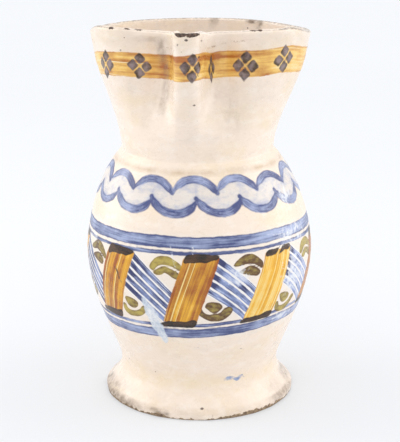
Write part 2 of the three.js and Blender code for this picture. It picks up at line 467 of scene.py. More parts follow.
    def skin(self) -> Skin:
        """Builds the closed mesh of the body.

        Returns:
            The mesh, with half as many columns inside as outside.
        """
        places, girth = self.mouth.columns(self.columns)
        around = lengths_along(self.mouth.outline)[-1]
        girth = np.where(girth > around / 2, girth - around, girth)
        turns = np.degrees(np.arctan2(places[:, 0], places[:, 1]))
        points, turn, level, girths, sides, faces = [], [], [], [], [], []
        previous: list[int] = []
        for line, side in self.rows():
            for radius, height in line:
                start = len(points)
                if radius < 1e-6:
                    points.append((0.0, 0.0, height))
                    turn.append(0.0)
                    level.append(height)
                    girths.append(0.0)
                    sides.append(side)
                    row = [start]
                else:
                    step = 2 if side == Side.INSIDE else 1
                    ring = self.hand_made(self.ring(radius, height, places), height, side)[::step]
                    points.extend(map(tuple, ring))
                    turn.extend(turns[::step])
                    level.extend([self.level_over_lip(radius, height, side)] * len(ring))
                    girths.extend(girth[::step])
                    sides.extend([side] * len(ring))
                    row = list(range(start, start + len(ring)))
                faces.extend(self.strip(previous, row))
                previous = row
        places = (np.array(values, float) for values in (turn, level, girths, sides))
        return Skin(np.array(points), faces, *places)

    def level_over_lip(self, radius: float, height: float, side: Side) -> float:
        """Gives a row's level, which goes on rising over the lip so that its inner and outer edge differ.

        Args:
            radius: the row's distance from the axis.
            height: its height.
            side: the side that it lies on.

        Returns:
            The level.
        """
        if side != Side.LIP:
            return height
        edge = self.section.rim[1] - self.section.lip_rounding
        outer = float(self.section.radius(edge))
        return edge + (outer - radius) + 0.5 * (height - edge)

    @staticmethod
    def strip(lower: list[int], upper: list[int]) -> list[tuple[int, ...]]:
        """Joins two neighbouring rows.

        Args:
            lower: the first row's points, one for a pole and none before the first row.
            upper: the second row's points, as many, half as many, or one.

        Returns:
            The faces between them.
        """
        if not lower:
            return []
        count = max(len(lower), len(upper))
        if len(lower) == 1:
            return [(lower[0], upper[(i + 1) % count], upper[i]) for i in range(count)]
        if len(upper) == 1:
            return [(lower[i], lower[(i + 1) % count], upper[0]) for i in range(count)]
        if len(lower) == len(upper):
            after = [(i + 1) % count for i in range(count)]
            return [(lower[i], lower[j], upper[j], upper[i]) for i, j in enumerate(after)]
        half = len(upper)
        joined = []
        for i in range(half):
            a, b, c = lower[2 * i], lower[2 * i + 1], lower[(2 * i + 2) % count]
            joined.append((a, b, upper[i]))
            joined.append((b, c, upper[(i + 1) % half], upper[i]))
        return joined


@dataclass(frozen=True)
class StrapHandle:
    """The pulled strap handle at the back, luted to the collar and to the shoulder."""

    section: Section
    top_level: float = 219.0
    foot_level: float = 124.0
    reach: float = 112.0
    width: float = 27.0
    thickness: float = 11.0
    taper: float = 0.82
    flare: float = 1.22
    groove: float = 0.75
    steps: int = 84
    sides: int = 44

    def path(self) -> np.ndarray:
        """Draws the centre line in the plane of +Y and +Z.

        Returns:
            Points of distance from the axis and height, from the collar to the shoulder.
        """
        half = self.section.wall / 2
        top = np.array([float(self.section.radius(self.top_level)) - half, self.top_level])
        foot = np.array([float(self.section.radius(self.foot_level)) - half, self.foot_level])
        drop = self.top_level - self.foot_level
        grip = self.reach - self.thickness / 2
        control = np.array(
            [
                top,
                (top[0] + 0.45 * (grip - top[0]), top[1] + 0.055 * drop),
                (top[0] + 0.86 * (grip - top[0]), top[1] - 0.05 * drop),
                (grip, top[1] - 0.31 * drop),
                (grip - 0.13 * (grip - foot[0]), top[1] - 0.62 * drop),
                (grip - 0.5 * (grip - foot[0]), top[1] - 0.86 * drop),
                foot,
            ]
        )
        curve = rounded_curve(control, 40, closed=False)
        along = lengths_along(curve)
        wanted = np.linspace(0.0, along[-1], self.steps + 1)
        return np.stack([np.interp(wanted, along, curve[:, i]) for i in (0, 1)], axis=1)

    def skin(self) -> Skin:
        """Builds the closed strap with its finger grooves.

        Returns:
            The mesh. Its turn holds the distance across the strap and its level the distance along it.
        """
        path = self.path()
        along = lengths_along(path)
        tangent = np.gradient(path, axis=0)
        tangent /= np.linalg.norm(tangent, axis=1)[:, None]
        outward = np.stack([-tangent[:, 1], tangent[:, 0]], axis=1)
        angles = 2 * math.pi * np.arange(self.sides) / self.sides
        points, across, level, faces = [], [], [], []
        for i, (distance, height) in enumerate(path):
            share = i / self.steps
            shrink = 1 + (self.taper - 1) * float(smoothstep(share, 0.35, 1.0))
            spread = self.flare + (1 - self.flare) * float(smoothstep(share, 0.0, 0.25))
            spread += 0.16 * float(smoothstep(share, 0.9, 1.0))
            half_width, half_thickness = 0.5 * self.width * shrink * spread, 0.5 * self.thickness * shrink
            for angle in angles:
                cosine, sine = math.cos(angle), math.sin(angle)
                x = half_width * math.copysign(abs(cosine) ** 0.86, cosine)
                y = half_thickness * math.copysign(abs(sine) ** 0.86, sine)
                if sine > 0:
                    y -= self.groove * math.exp(-(((abs(x) - 0.36 * half_width) / 2.2) ** 2)) * sine
                at = (distance + y * -outward[i, 0], height + y * -outward[i, 1])
                points.append((x, at[0], at[1]))
                across.append(x)
                level.append(along[i])
            if i:
                low, high = (i - 1) * self.sides, i * self.sides
                after = [(j + 1) % self.sides for j in range(self.sides)]
                faces += [(low + j, high + j, high + k, low + k) for j, k in enumerate(after)]
        faces.append(tuple(range(self.sides)))
        faces.append(tuple(reversed(range(self.steps * self.sides, (self.steps + 1) * self.sides))))
        count = len(points)
        return Skin(
            np.array(points),
            faces,
            np.array(across),
            np.array(level),
            np.zeros(count),
            np.full(count, float(Side.HANDLE)),
        )


def distance_to_line(places: np.ndarray, line: np.ndarray) -> tuple[np.ndarray, np.ndarray]:
    """Measures how far places are from a line of points.

    Args:
        places: the places, in the line's own units.
        line: the line's points.

    Returns:
        The distances, and the share of the line's length at the nearest point.
    """
    start, step = line[:-1], np.diff(line, axis=0)
    length = np.maximum(np.einsum("ij,ij->i", step, step), 1e-9)
    offset = places[:, None, :] - start[None]
    share = np.clip(np.einsum("pij,ij->pi", offset, step) / length, 0.0, 1.0)
    away = offset - share[..., None] * step
    squared = np.einsum("pij,pij->pi", away, away)
    best = np.argmin(squared, axis=1)
    row = np.arange(len(places))
    along = lengths_along(line)
    travelled = along[best] + share[row, best] * np.sqrt(length[best])
    return np.sqrt(squared[row, best]), travelled / along[-1]


def depth_in_shape(places: np.ndarray, outline: np.ndarray) -> np.ndarray:
    """Measures how deep places lie in a closed shape.

    Args:
        places: the places.
        outline: the shape's corners, in order.

    Returns:
        The distance to its edge, negative outside.
    """
    closed = np.concatenate([outline, outline[:1]])
    distance = distance_to_line(places, closed)[0]
    x, y = places[:, 0][:, None], places[:, 1][:, None]
    x0, y0, x1, y1 = closed[:-1, 0], closed[:-1, 1], closed[1:, 0], closed[1:, 1]
    crosses = (y0 > y) != (y1 > y)
    at = x0 + (y - y0) * (x1 - x0) / np.where(np.abs(y1 - y0) < 1e-9, 1e-9, y1 - y0)
    inside = (crosses & (x < at)).sum(axis=1) % 2 == 1
    return np.where(inside, distance, -distance)


@dataclass
class Ground:
    """The places of all points of the finished mesh, which the painting is laid out on."""

    turn: np.ndarray
    level: np.ndarray
    girth: np.ndarray
    side: np.ndarray
    section: Section
    mouth: Mouth

    def outside(self, low: float, high: float) -> np.ndarray:
        """Picks the points of the outside between two levels."""
        return (self.side == Side.OUTSIDE) & (self.level > low) & (self.level < high)

    def blank(self) -> np.ndarray:
        """Gives a field with nothing painted."""
        return np.full(len(self.turn), UNPAINTED)

    def level_down_inside(self) -> np.ndarray:
        """Gives the levels as they go on rising over the lip and down the inside."""
        return np.where(self.side == Side.INSIDE, 2 * LIP_TOP - self.level, self.level)


@dataclass(frozen=True)
class BorderLines:
    """The blue lines above and below the frieze: a broad one and a fine one on each side."""

    broad_top: Pair = (116.6, 123.7)
    fine_top: Pair = (112.7, 114.9)
    fine_low: Pair = (65.6, 67.8)
    broad_low: Pair = (57.6, 64.1)
    low_drift: float = 3.6
    drift_turn: float = 8.0

    def drift(self, turn: np.ndarray, level: np.ndarray) -> np.ndarray:
        """Gives how far the painter's lower lines have drifted up at a turn."""
        low = 1 - smoothstep(level, 68.0, 100.0)
        top = 0.5 * ripple(turn, 2.0, 30.0) * (1 - low)
        return self.low_drift * np.sin(np.radians(turn - self.drift_turn)) * low + top

    def paint(self, ground: Ground) -> Fields:
        """Lays out the lines.

        Args:
            ground: the places to paint on.

        Returns:
            The depth in the lines.
        """
        lines = ground.blank()
        picked = ground.outside(48.0, 132.0)
        turn = ground.turn[picked]
        level = ground.level[picked] - self.drift(turn, ground.level[picked])
        wobble = 0.22 * ripple(turn, 5.0) + 0.15 * ripple(turn, 11.0, 40.0)
        depth = np.full(len(level), UNPAINTED)
        for low, high in (self.broad_top, self.fine_top, self.fine_low, self.broad_low):
            swell = 0.25 * ripple(turn, 3.0, low)
            away = np.abs(level + wobble - (low + high) / 2)
            depth = np.maximum(depth, (high - low) / 2 + 0.4 * swell - away)
        lines[picked] = depth
        around = np.radians(ground.turn)
        uneven = 0.16 * np.sin(4 * around + 0.6) + 0.12 * np.sin(9 * around + ground.level)
        uneven = uneven + 0.1 * np.sin(17 * around)
        return {"lines": lines, "line_bias": uneven - 0.25 * hump(ground.turn - 66.0, 24.0)}


@dataclass(frozen=True)
class WaveBand:
    """The double row of brushed arches round the shoulder, with a pale wash between them."""

    count: int = 14
    first_top: float = 6.0
    upper_foot: float = 149.2
    upper_rise: float = 6.5
    lower_end: float = 144.5
    lower_drop: float = 6.9
    half_stroke: float = 2.5
    mean_radius: float = 63.0

    def arch(self, jitter: float, upper: bool) -> np.ndarray:
        """Draws the brush's path over one arch.

        Args:
            jitter: how much this arch is larger or smaller, around 0.
            upper: whether it is one of the upper arches, which bend up.

        Returns:
            Points of degrees from the arch's middle and level.
        """
        half = 180.0 / self.count
        share = np.linspace(-1.0, 1.0, 25)
        bow = 1 - np.abs(share) ** (2.3 + 0.3 * jitter)
        if upper:
            level = self.upper_foot - 0.7 * share + (self.upper_rise + 0.6 * jitter) * bow
        else:
            level = self.lower_end - 1.5 * share - (self.lower_drop + 0.5 * jitter) * bow
        return np.stack([share * (half - 0.35) * (1 + 0.03 * jitter), level], axis=1)

    def paint(self, ground: Ground) -> Fields:
        """Lays out the arches and their wash.

        Args:
            ground: the places to paint on.

        Returns:
            The depth in the strokes, the share of the stroke that the brush has travelled, and the wash.
        """
        waves, travel = ground.blank(), np.zeros(len(ground.turn))
        wash = np.zeros(len(ground.turn))
        picked = np.flatnonzero(ground.outside(126.0, 166.0))
        turn, level = ground.turn[picked], ground.level[picked]
        scale = DEGREE * self.mean_radius
        climb = ground.section.climb(level)
        depth, done = np.full(len(picked), UNPAINTED), np.zeros(len(picked))
        period = 360.0 / self.count
        chance = np.random.default_rng(41)
        ridge = {True: np.full(len(picked), -1e3), False: np.full(len(picked), 1e3)}
        for upper in (True, False):
            for k in range(self.count):
                middle = self.first_top + period * (k + (0.0 if upper else 0.5))
                jitter = float(chance.uniform(-1, 1))
                path = self.arch(jitter, upper)
                offset = wrapped(turn - middle)
                near = np.abs(offset) < 0.5 * period + 4.0
                line = np.stack([path[:, 0] * scale, ground.section.climb(path[:, 1])], axis=1)
                places = np.stack([offset[near] * scale, climb[near]], axis=1)
                distance, share = distance_to_line(places, line)
                taper = 1 - 0.5 * smoothstep(np.abs(share - 0.52), 0.34, 0.5)
                here = self.half_stroke * (1 + 0.08 * jitter) * taper - distance
                better = here > depth[near]
                index = np.flatnonzero(near)[better]
                depth[index] = here[better]
                done[index] = share[better]
                own = np.abs(offset) <= 0.5 * period
                ridge[upper][own] = np.interp(offset[own], path[:, 0], path[:, 1])
        between = smoothstep(ridge[True] - level, 0.0, 2.5) * smoothstep(level - ridge[False], 0.0, 1.5)
        pool = np.maximum(1 - (level - ridge[False]) / 6.5, 0.75 - (ridge[True] - level) / 7.0)
        patches = 0.5 + 0.5 * ripple(turn, 9.0, 60.0) * ripple(turn, 4.0)
        wash[picked] = between * (0.45 + 0.3 * patches + 0.4 * np.clip(pool, 0.0, 1.0))
        tinge = np.zeros(len(ground.turn))
        tinge[picked] = 1.1 * np.clip(pool, 0.0, 1.0) * (0.45 + 0.55 * patches) - 0.35
        waves[picked] = depth
        travel[picked] = smoothstep(done, 0.55, 0.95) * 0.4 + smoothstep(-done, -0.12, 0.0) * 0.2 - 0.08
        travel[picked] += 0.25 * hump(turn - 2.0, 26.0)
        pale = np.where(wash > 0.0, 5.0 * wash - 1.5, UNPAINTED)
        return {"waves": waves, "wave_bias": travel, "wash": pale, "wash_bias": tinge}


class ScrollTone(Enum):
    """The two strengths of olive that the painter's brush left, as what each adds to the share of brown."""

    THIN = -0.25
    THICK = 0.26


@dataclass(frozen=True)
class RibbonFrieze:
    """The twisted ribbon round the belly: ochre slats, blue stripes behind them, and olive scrolls."""

    slats: tuple[float, ...] = (-82.4, -40.0, 3.0, 44.8, 87.0, 125.3, 163.4, -158.6, -120.4)
    low: float = 69.6
    high: float = 108.7
    slant: float = 10.4
    half_width: float = 8.75
    cap_top: float = 113.9
    cap_low: float = 64.9
    # Each slat's own tint. The slat at 44.8 is made far paler: partly its yellower paint, partly a painted
    # highlight where the light glares on it.
    slat_tints_and_glare: dict[float, float] = field(default_factory=lambda: {-40.0: 0.1, 3.0: 0.05, 44.8: -0.56})
    stripe_tints: dict[float, float] = field(default_factory=lambda: {3.0: -0.35, 44.8: -0.75})
    broken_cap: float = 44.8
    stripe_slope: float = 1.07
    stripe_low: float = 98.6
    reach: Pair = (60.0, 117.0)  # the levels between which anything of the frieze lies
    stripes_from: float = 68.0
    stripes_to: float = 112.4
    stripe_pitch: float = 5.9
    stripe_count: int = 5
    mean_radius: float = 73.4
    usual_gap: float = 42.4
    thin_scrolls: tuple[Path, ...] = (
        (
            (22.9, 104.1), (23.8, 107.5), (26.0, 110.5), (28.8, 111.8), (32.5, 111.8), (35.7, 109.5),
            (38.5, 106.8), (39.1, 104.1), (37.6, 103.4), (34.6, 105.4), (31.5, 106.5), (29.0, 106.5),
            (26.8, 105.0), (24.9, 102.6),
        ),
        (
            (24.9, 101.2), (26.8, 103.7), (29.0, 105.2), (31.5, 105.2), (34.3, 104.0), (37.3, 101.7),
            (36.9, 97.9), (34.6, 98.7), (32.2, 100.7), (30.6, 101.6), (29.1, 100.3), (26.8, 99.7),
        ),
        (
            (7.5, 81.3), (10.6, 81.8), (13.7, 80.8), (15.5, 78.8), (14.7, 76.0), (12.0, 74.5), (9.8, 75.2),
            (8.4, 77.4),
        ),
        (
            (5.6, 76.7), (5.5, 71.8), (8.5, 68.6), (14.1, 68.9), (18.5, 72.1), (20.7, 76.2), (19.4, 77.8),
            (17.3, 76.9), (15.8, 74.5), (11.8, 72.6), (8.4, 73.2), (7.0, 76.4),
        ),
    )
    thick_scrolls: tuple[Path, ...] = (
        (
            (21.3, 105.7), (24.2, 109.6), (27.6, 112.0), (31.6, 111.7), (34.9, 109.2), (37.4, 105.4),
            (37.1, 102.1), (34.3, 103.9), (32.0, 105.6), (28.6, 106.2), (26.0, 105.5), (23.4, 105.2),
        ),
        (
            (24.0, 101.5), (26.6, 103.5), (30.6, 104.8), (33.4, 103.5), (35.6, 100.7), (34.3, 97.9),
            (31.2, 98.3), (27.2, 99.8),
        ),
        (
            (7.5, 79.6), (8.4, 82.5), (11.4, 83.1), (15.2, 81.5), (16.2, 78.9), (14.7, 76.6), (12.9, 75.1),
            (10.3, 76.3), (9.0, 77.8),
        ),
        (
            (3.7, 79.2), (5.5, 79.2), (6.7, 76.6), (8.8, 74.7), (12.3, 74.4), (15.4, 76.0), (17.7, 78.8),
            (20.3, 79.1), (21.7, 76.7), (20.2, 72.9), (16.4, 69.7), (11.2, 69.5), (6.7, 71.9), (4.2, 74.7),
        ),
    )

    def scroll_shapes(self, tone: ScrollTone) -> list[np.ndarray]:
        """Gives the outlines of a gap's scroll strokes, in degrees from the slat before them and level."""
        shapes = self.thick_scrolls if tone is ScrollTone.THICK else self.thin_scrolls
        return [rounded_curve(np.array(shape), 5, closed=True) for shape in shapes]

    @staticmethod
    def rounded(first: np.ndarray, second: np.ndarray, radius: float = 2.2) -> np.ndarray:
        """Gives the depth inside both of two edges, with a rounded corner where they meet.

        Args:
            first: the depth inside one edge.
            second: the depth inside the other.
            radius: the corner's radius.

        Returns:
            The depth inside both.
        """
        corner = radius - np.hypot(np.maximum(radius - first, 0.0), np.maximum(radius - second, 0.0))
        return np.where((first < radius) & (second < radius), corner, np.minimum(first, second))

    def lean(self, level: np.ndarray) -> np.ndarray:
        """Gives how many degrees a slat stands off its own middle at a level."""
        return self.slant * (level - (self.low + self.high) / 2) / (self.high - self.low)

    def _lay_slat(
        self, painted: Fields, turn: np.ndarray, level: np.ndarray, k: int, width: float, tint: float
    ) -> None:
        """Lays one slat and the dark caps at its ends.

        Args:
            painted: the fields, which it is added to.
            turn: the turns of the places.
            level: their levels.
            k: the slat's number, from the left end of the back.
            width: half of its width in degrees.
            tint: its own tint, where the photograph shows none.
        """
        centre = sorted(self.slats)[k]
        scale = DEGREE * self.mean_radius
        across = wrapped(turn - centre) - self.lean(level)
        here = (width - np.abs(across)) * scale * 0.95
        drift = BorderLines().drift(turn, level)
        settled = np.maximum(drift, 0.0) + 0.2 * np.minimum(drift, 0.0)
        low_top, low_edge = self.low + 0.5 * settled, self.cap_low + 0.75 * settled
        body = np.minimum(here, np.minimum(level - low_top + 1.2, self.high + 2.6 - level))
        ragged = 0.35 * np.sin(across * 0.6 + k) + 0.2 * np.sin(across * 1.1 + 2 * k) + 0.11 * across
        top_edge = self.cap_top - 0.3 * ragged - 0.5 * smoothstep(np.abs(across + 3.0), 0.0, 9.0)
        if centre == self.broken_cap:
            top_edge = top_edge - 1.5 * smoothstep(-across, -1.0, 1.0)
        upper = self.rounded(here - 0.3, np.minimum(level - self.high - ragged, top_edge - level))
        if centre == self.broken_cap:
            upper = np.minimum(upper, np.abs(across - 0.4 - 0.4 * (level - 111.0)) - 0.9)
        low_end = np.minimum(level - low_edge, low_top + ragged - 0.2 - level)
        lower = self.rounded(here + 0.9 - 0.08 * across, low_end)
        painted["slat"] = np.maximum(painted["slat"], body)
        painted["cap"] = np.maximum(painted["cap"], np.maximum(upper, lower))
        bias = self.slat_tints_and_glare.get(centre, tint) + 0.15 * smoothstep(np.abs(across) / width, 0.72, 1.0)
        closer = np.abs(across) < painted["nearest"]
        own = {"nearest": np.abs(across), "slat_across": across * scale + 37.0 * k, "slat_bias": bias}
        painted.update({name: np.where(closer, values, painted[name]) for name, values in own.items()})

    def _lay_gap(
        self, painted: Fields, turn: np.ndarray, level: np.ndarray, k: int, width: float, shift: float
    ) -> None:
        """Lays the stripes and the scrolls between one slat and the next.

        Args:
            painted: the fields, which they are added to.
            turn: the turns of the places.
            level: their levels.
            k: the number of the slat before the gap.
            width: half of that slat's width in degrees.
            shift: how much higher or lower these stripes are.
        """
        order = sorted(self.slats)
        centre, following = order[k], order[(k + 1) % len(order)]
        gap = float((following - centre) % 360.0)
        scale, fit, lean = DEGREE * self.mean_radius, gap / self.usual_gap, self.lean(level)
        offset = wrapped(turn - centre)
        phase = np.where(offset < 0, offset + 360.0, offset)
        within = (phase > lean) & (phase - gap < lean)
        bow = 0.028 * (phase - 0.5 * gap) ** 2 / fit
        climbed = level + self.stripe_slope * phase / fit + 0.35 * bow - self.stripe_low - shift
        edge = np.minimum(climbed, self.stripe_pitch * self.stripe_count - climbed) * 0.76
        edge = np.minimum(edge, np.minimum(level - self.stripes_from, self.stripes_to - level))
        edge = np.minimum(edge, (phase - lean - width) * scale + 1.2)
        # The brush lands loaded beside the slat, pales as it travels, and gathers a little where it lifts.
        travel = (phase - lean - width) / (gap - 2 * width)
        loaded = 1.9 - 1.9 * smoothstep(travel, 0.05, 0.24) + 0.2 * smoothstep(travel, 0.75, 1.0)
        number = np.floor(climbed / self.stripe_pitch)
        loaded = loaded * (0.6 + 0.4 * np.sin(2.4 * number + k)) + 0.12 * np.sin(3.9 * number + 2.0 * k)
        loaded = loaded + self.stripe_tints.get(centre, 0.0)
        own = {"stripe": edge, "stripe_across": climbed / self.stripe_pitch, "stripe_bias": loaded}
        painted.update({name: np.where(within, values, painted[name]) for name, values in own.items()})
        tone = ScrollTone.THICK if k % 2 == 0 else ScrollTone.THIN
        places = np.stack([phase[within] * scale, level[within]], axis=1)
        for shape in self.scroll_shapes(tone):
            outline = np.stack([shape[:, 0] * fit * scale, shape[:, 1]], axis=1)
            painted["scroll"][within] = np.maximum(painted["scroll"][within], depth_in_shape(places, outline))
        painted["scroll_bias"][within] = tone.value

    def paint(self, ground: Ground) -> Fields:
        """Lays out the frieze.

        Args:
            ground: the places to paint on.

        Returns:
            The depth in each kind of stroke, and where a place lies across the slat or the stripe it is in.
        """
        picked = np.flatnonzero(ground.outside(*self.reach))
        turn, level = ground.turn[picked], ground.level[picked]
        starts = dict.fromkeys(("slat", "cap", "stripe", "scroll"), UNPAINTED)
        settings = ("slat_across", "slat_bias", "stripe_across", "stripe_bias", "scroll_bias")
        starts |= dict.fromkeys(settings, 0.0)
        laid = {name: np.full(len(picked), start) for name, start in starts.items()}
        laid["nearest"] = np.full(len(picked), 1e9)
        chance = np.random.default_rng(7)
        for k in range(len(self.slats)):
            draws = ((-0.03, 0.03), (-0.15, 0.2), (-0.5, 0.5))
            swell, tint, shift = (float(chance.uniform(low, high)) for low, high in draws)
            width = self.half_width * (1 + swell)
            self._lay_slat(laid, turn, level, k, width, tint)
            self._lay_gap(laid, turn, level, k, width, shift)
        painted = {name: np.full(len(ground.turn), start) for name, start in starts.items()}
        for name, values in painted.items():
            values[picked] = laid[name]
        return painted


@dataclass(frozen=True)
class CollarBand:
    """The streaky ochre band round the collar, with four-petalled flowers in manganese."""

    low: float = 212.6
    high: float = 227.4
    # Turn, level, breadth and how far a flower leans to the left as it rises.
    flowers: tuple[Spot, ...] = (
        (-62.8, 217.6, 0.9, -0.3), (-42.2, 218.6, 1.0, 0.0), (3.9, 220.4, 0.95, 0.0),
        (18.4, 218.8, 0.42, 0.0), (43.0, 219.6, 0.98, 0.0), (64.0, 222.2, 1.0, 0.0),
        (101.0, 221.0, 1.0, 0.05), (119.0, 220.8, 1.0, 0.0), (137.0, 221.0, 1.0, -0.06),
        (155.0, 220.6, 1.0, 0.04), (-154.0, 220.4, 1.0, 0.0), (-136.0, 220.0, 1.0, 0.07),
        (-118.0, 220.2, 1.0, 0.0), (-100.0, 219.5, 1.0, -0.05),
    )

    def paint(self, ground: Ground) -> Fields:
        """Lays out the band and its flowers.

        Args:
            ground: the places to paint on.

        Returns:
            The depth in the band and in the flowers' ring, and the flowers' own two slanted coordinates.
        """
        picked = np.flatnonzero(ground.outside(200.0, 241.0))
        turn, level = ground.turn[picked], ground.level[picked]
        band = ground.blank()
        side = np.sin(np.radians(turn))
        wobble = 0.35 * ripple(turn, 6.0) + 0.25 * ripple(turn, 13.0, 20.0)
        high = self.high + 2.3 * side + wobble
        low = self.low + 1.4 * side + 0.7 * wobble
        band[picked] = np.minimum(high - level, level - low)
        bloom = ground.blank()
        first, second = np.full(len(ground.turn), 20.0), np.full(len(ground.turn), 20.0)
        shrink = ground.section.radius(level) / ground.section.rim[0]
        chance = np.random.default_rng(19)
        ring, a, b = (np.full(len(picked), value) for value in (UNPAINTED, 20.0, 20.0))
        for centre_turn, centre_level, breadth, lean in self.flowers:
            away = ground.girth[picked] - ground.mouth.girth_at(centre_turn)
            spin = math.radians(float(chance.uniform(-9, 9)) + 45.0)
            size = 1.0 + float(chance.uniform(-0.06, 0.08))
            above = level - centre_level
            x, y = (away * shrink + lean * above) / (size * breadth), above / size
            near = np.hypot(x, y) < 11.0
            a[near] = (x * math.cos(spin) + y * math.sin(spin))[near]
            b[near] = (y * math.cos(spin) - x * math.sin(spin))[near]
            ring[near] = (8.6 - np.hypot(x, y))[near]
        bloom[picked], first[picked], second[picked] = ring, a, b
        around = np.radians(ground.turn)
        below_top = self.high + 2.3 * np.sin(around) - ground.level
        rust = 0.5 * hump(below_top - 3.2, 2.0) * (0.5 + 0.5 * np.sin(3.0 * around + 1.1))
        rust = rust + 0.35 * hump(below_top, 0.9) - 0.22
        rust = rust + 0.4 * np.exp(-(((ground.turn - 26.0) / 14.0) ** 2) - ((below_top - 2.5) / 2.2) ** 2)
        rust = rust + 0.45 * hump(ground.turn + 28.0, 5.0) + 0.2 * hump(ground.turn, 9.0)
        rust = rust - 0.35 * smoothstep(np.abs(wrapped(ground.turn + 5.0)), 52.0, 72.0)
        return {"band": band, "band_bias": rust, "bloom": bloom, "petal_a": first, "petal_b": second}


@dataclass(frozen=True)
class Traces:
    """What firing and use left: a run of glaze, a finger's smudge, chips, scratches and worn foot edges; and
    soft painted shade in the neck's hollows and along the foot's edge.
    """

    run: Path = ((-20.5, 83.0), (-18.6, 76.0), (-16.0, 68.0), (-13.8, 60.0), (-11.4, 53.0))
    smudge: Path = ((25.0, 22.6), (30.0, 23.6), (35.0, 22.4), (39.0, 23.6), (42.0, 22.6))
    scratches: tuple[Path, ...] = (
        ((62.0, 143.0), (66.0, 139.5), (70.0, 141.0)), ((60.5, 139.0), (66.5, 136.5)),
        ((27.0, 104.0), (31.5, 97.0), (34.0, 92.0)), ((29.0, 97.0), (33.0, 100.0)),
        ((-6.6, 118.5), (-5.2, 112.0), (-3.4, 104.5)), ((4.2, 119.5), (4.6, 113.5)),
        ((-72.0, 118.0), (-63.0, 112.0)), ((57.0, 90.0), (60.0, 80.0), (64.0, 84.0)),
        ((44.0, 121.5), (58.0, 119.5), (70.0, 121.0)), ((48.0, 118.0), (66.0, 116.0)),
        ((48.0, 63.0), (57.0, 65.0), (67.0, 66.0)), ((-52.5, 88.0), (-51.5, 78.0), (-52.5, 71.5)),
    )
    hairlines: tuple[Path, ...] = (
        ((12.0, 230.5), (16.0, 231.3), (24.0, 231.8)), ((27.0, 233.0), (36.0, 233.8), (48.0, 234.6)),
        ((-9.0, 230.0), (-22.0, 230.5), (-27.0, 231.2)), ((120.0, 231.0), (136.0, 232.5)),
        ((-140.0, 232.0), (-121.0, 230.6)),
    )
    rubbed: tuple[Spot, ...] = (
        (64.0, 119.0, 16.0, 7.0), (66.0, 141.0, 8.0, 6.0), (27.0, 99.0, 6.0, 8.0), (28.0, 99.5, 3.0, 4.0),
        (60.0, 94.0, 9.0, 18.0), (58.0, 64.0, 11.0, 4.0), (-60.0, 113.0, 8.0, 4.0),
        (-150.0, 96.0, 16.0, 12.0), (128.0, 142.0, 14.0, 7.0),
    )
    worn: tuple[tuple[float, float, float], ...] = (
        (-84.0, 6.0, 2.4), (-52.0, 26.0, 1.2), (-17.0, 5.0, 1.9), (48.0, 28.0, 2.0), (112.0, 15.0, 3.0),
        (172.0, 22.0, 2.0), (-128.0, 16.0, 2.6),
    )
    # Dirt and painted shade: turn, level (counted on over the lip and down the inside), reach both ways and
    # strength. The dirt is caked on with an edge round it; the soft haze is painted shade in the neck's pinch
    # hollows beside the spout and along the foot's edge.
    caked: tuple[tuple[float, ...], ...] = (
        (-56.0, 3.0, 26.0, 3.2, 1.0), (-79.0, 5.0, 6.5, 3.4, 1.0), (-15.5, 2.9, 5.4, 1.7, 0.95),
        (-20.5, 4.6, 3.2, 0.9, 0.8), (74.0, 4.6, 18.0, 2.2, 0.7), (98.0, 10.0, 14.0, 4.5, 0.6),
        (-101.0, 10.0, 14.0, 4.5, 0.6), (-31.0, 231.0, 3.4, 5.0, 0.6), (-34.0, 235.0, 9.0, 1.6, 0.35),
        (-29.5, 225.0, 4.0, 4.6, 0.45), (-26.0, 218.0, 2.6, 4.0, 0.42), (-23.5, 211.0, 3.2, 7.0, 0.5),
        (-22.0, 201.0, 4.6, 9.0, 0.45), (-68.0, 6.5, 15.0, 3.6, 0.6), (178.5, 243.4, 2.6, 1.5, 0.7),
        (154.5, 243.4, 3.6, 1.1, 1.0), (149.0, 244.0, 2.4, 1.4, 0.9),
    )
    # Soft painted shade in the neck's pinch hollows beside the spout and along the foot's edge, not dirt.
    painted_shade: tuple[tuple[float, ...], ...] = (
        (25.0, 199.0, 7.5, 14.0, 0.13), (24.0, 203.0, 4.5, 8.0, 0.2), (33.0, 193.0, 9.5, 15.0, 0.25),
        (-33.0, 188.0, 5.0, 7.0, 0.14), (-30.0, 201.0, 4.5, 7.0, 0.16), (-54.0, 8.5, 14.0, 5.0, 0.25),
        (66.0, 10.5, 11.0, 5.0, 0.25), (0.0, 6.0, 32.0, 3.0, 0.12),
    )
    blots: tuple[Path, ...] = (
        ((-38.0, 100.4), (-36.4, 97.6), (-34.8, 94.0), (-33.6, 90.0)), ((-36.9, 99.0), (-35.0, 95.0)),
        ((-35.8, 95.6), (-34.4, 92.0)), ((-21.5, 226.6), (-19.0, 225.2)), ((-19.5, 223.0), (-18.6, 222.0)),
        ((2.0, 226.0), (5.0, 225.4)), ((-1.0, 217.5), (0.4, 216.4)), ((2.5, 214.8), (4.4, 213.9)),
        ((6.4, 216.8), (7.2, 215.4)), ((7.2, 226.5), (7.8, 225.8)), ((-50.0, 227.2), (-49.4, 227.0)),
        ((0.2, 236.2), (1.6, 235.8)), ((8.5, 235.0), (9.5, 234.5)), ((-4.5, 233.0), (-3.5, 233.4)),
        ((4.2, 199.3), (5.6, 198.9)), ((-21.1, 176.8), (-20.3, 176.4)), ((-25.4, 26.1), (-24.4, 25.7)),
        ((8.3, 7.3), (10.1, 6.9)), ((14.5, 5.5), (15.9, 5.1)), ((33.0, 46.1), (33.8, 45.7)),
        ((6.4, 49.5), (7.2, 49.1)), ((-52.3, 28.7), (-51.5, 28.3)),
    )

